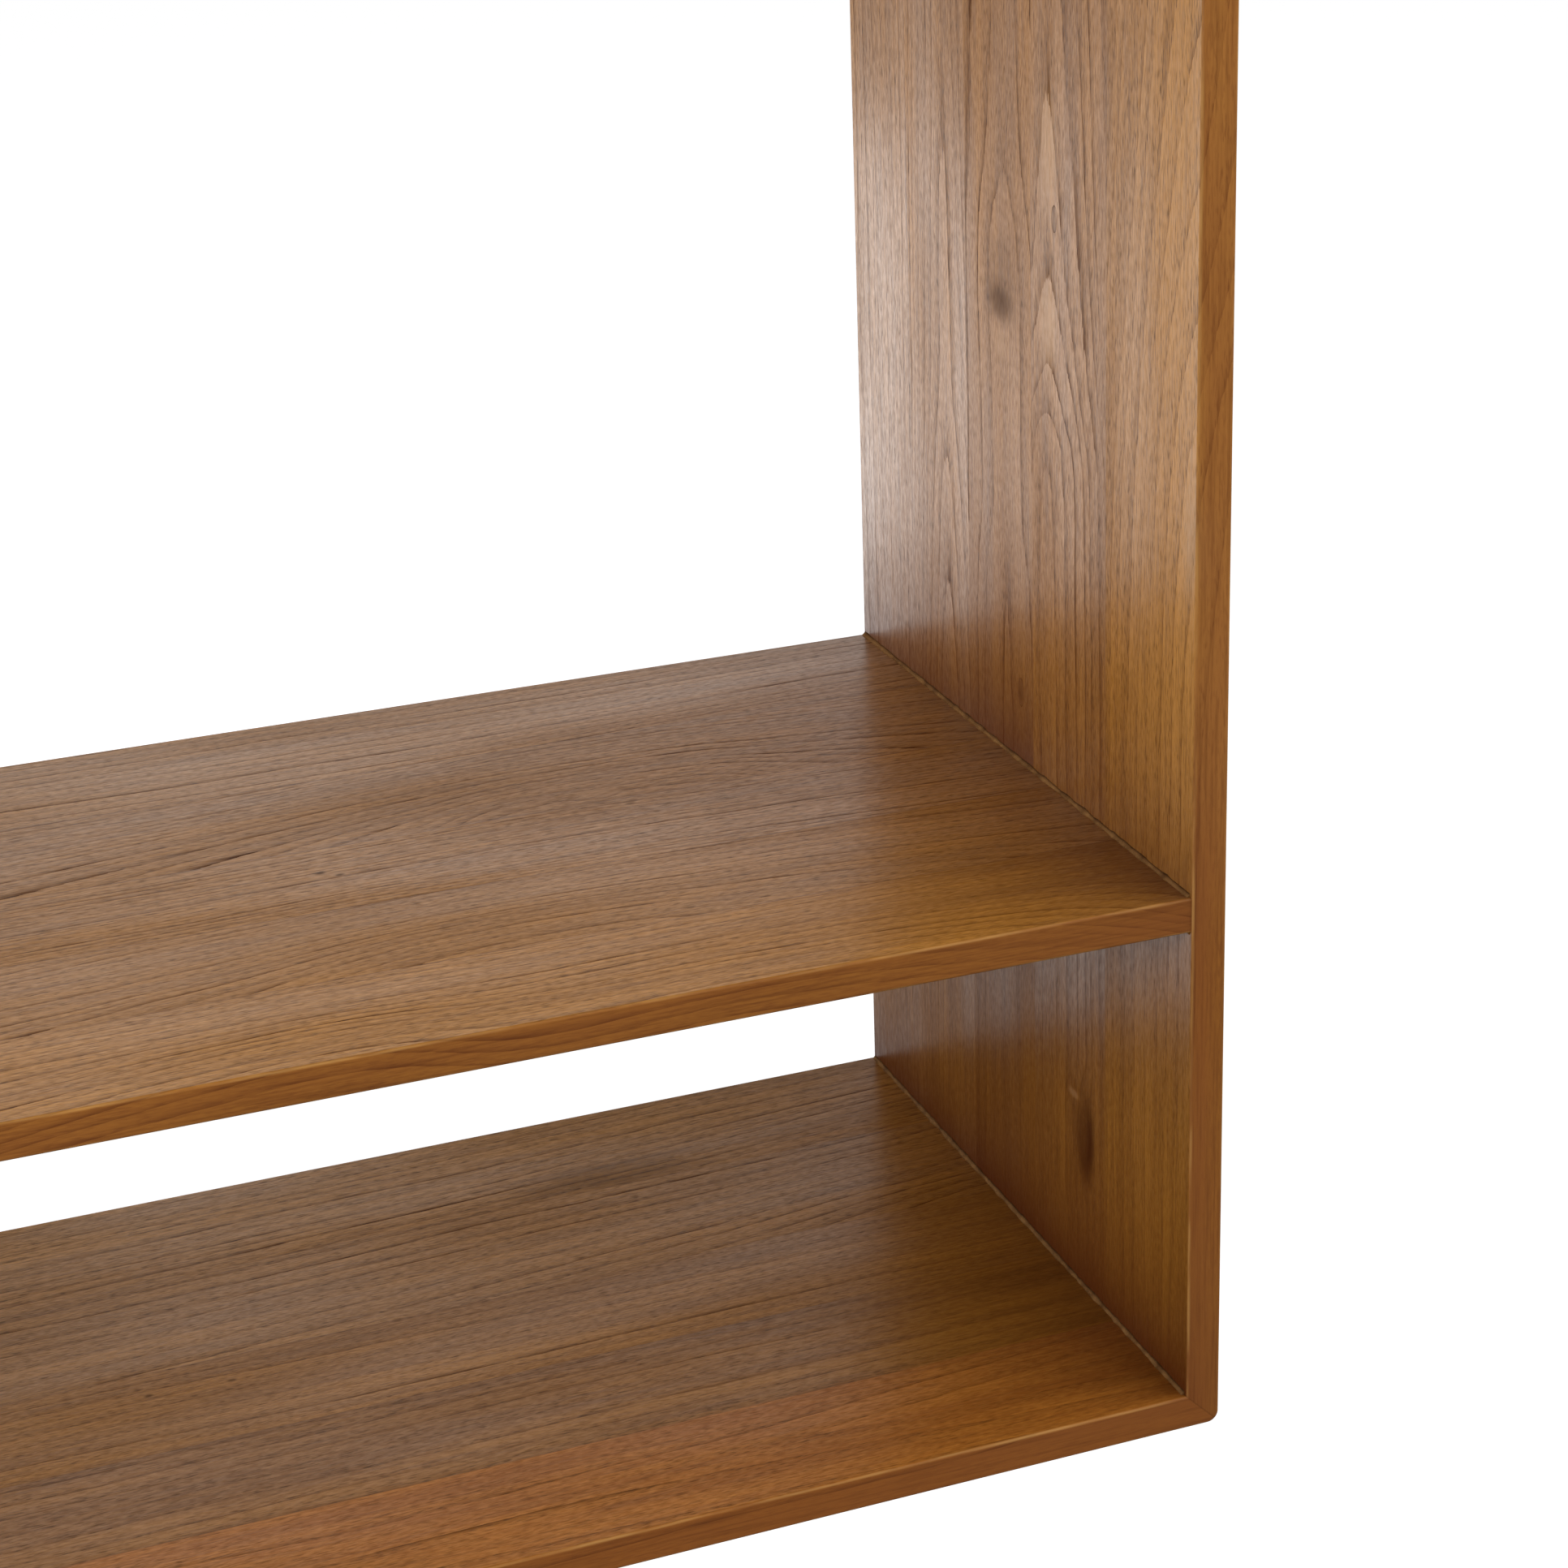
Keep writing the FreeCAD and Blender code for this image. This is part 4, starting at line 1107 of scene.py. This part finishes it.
spin = add_node(tree, "FunctionNodeRandomValue", spin, data_type="FLOAT_VECTOR")
spin = add_node(tree, "FunctionNodeEulerToRotation", {0: spin})
set_in = {"Points": given["Holes"], "Instance": body, "Rotation": spin}
screws = add_node(tree, "GeometryNodeInstanceOnPoints", set_in)
end_tree(tree, screws, given["Finish"])
sizes = {"Screw": screw, "Seed": SPIN_SEED, "Finish": zinc, **CROSS}
screws = keep_made("hanger_screws_threaded", holes, tree, sizes)
bpy.data.objects.remove(screw)
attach(screws, "root")
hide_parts("hanger_screws")
print("screws:", len(screws.data.polygons), "faces, size", [round(v * MM) for v in screws.dimensions], "mm")

# %% [markdown]
# ## Beech in the joints
#
# The splines in the mitres and the dowels under the shelf are beech: pale, pinkish and close, with
# short dark flecks where its rays are cut through. They are inside the joints, so a plain ground with
# stretched flecks is enough.

# %% Splines and dowels
BEECH_TONES = ("#C99F72", "#DBB98D")
FLECK = linear("#93663E")
GROUND_MM = 25.0
FLECKS = between(0.58, 0.7, 0.0, 0.6)
FLECK_MM = {"spline": (0.5, 3.0, 0.5), "dowels": (3.0, 0.5, 0.5)}
PLANED = {"To Min": 0.6, "To Max": 0.75}
RAYS = {"Strength": 0.15, "Distance": 0.0001}


def beech(name, grain_mm):
    """Raw beech: a pale, close ground with short brown flecks that lie along the grain."""
    material, tree = empty_material(name)
    place = add_node(tree, "ShaderNodeTexCoord", give="Object")
    ground = add_node(tree, NOISE, {"Vector": place, "Scale": MM / GROUND_MM, "Detail": 3.0})
    stretched = {0: place, 1: [MM / size for size in grain_mm]}
    stretched = add_node(tree, "ShaderNodeVectorMath", stretched, operation="MULTIPLY")
    fleck = add_node(tree, NOISE, {"Vector": stretched, "Scale": 1.0, "Detail": 1.0})
    share = add_node(tree, MAP_RANGE, {"Value": fleck, **FLECKS})
    deep, pale = (linear(code) for code in BEECH_TONES)
    end_material(tree, {
        "Base Color": lay_tints(tree, deep, [(ground, pale), (share, FLECK)]),
        "Roughness": add_node(tree, MAP_RANGE, {"Value": ground, **PLANED}),
        "Normal": add_node(tree, "ShaderNodeBump", {"Height": fleck, **RAYS}),
    })
    return material


for kind, grain_mm in FLECK_MM.items():
    wood = beech(f"raw_beech_{kind}", grain_mm)
    nodes = [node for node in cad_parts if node.endswith(kind)]
    for node in nodes:
        dress(node, wood)
    print(kind, "in", wood.name, "on", len(nodes), "nodes")
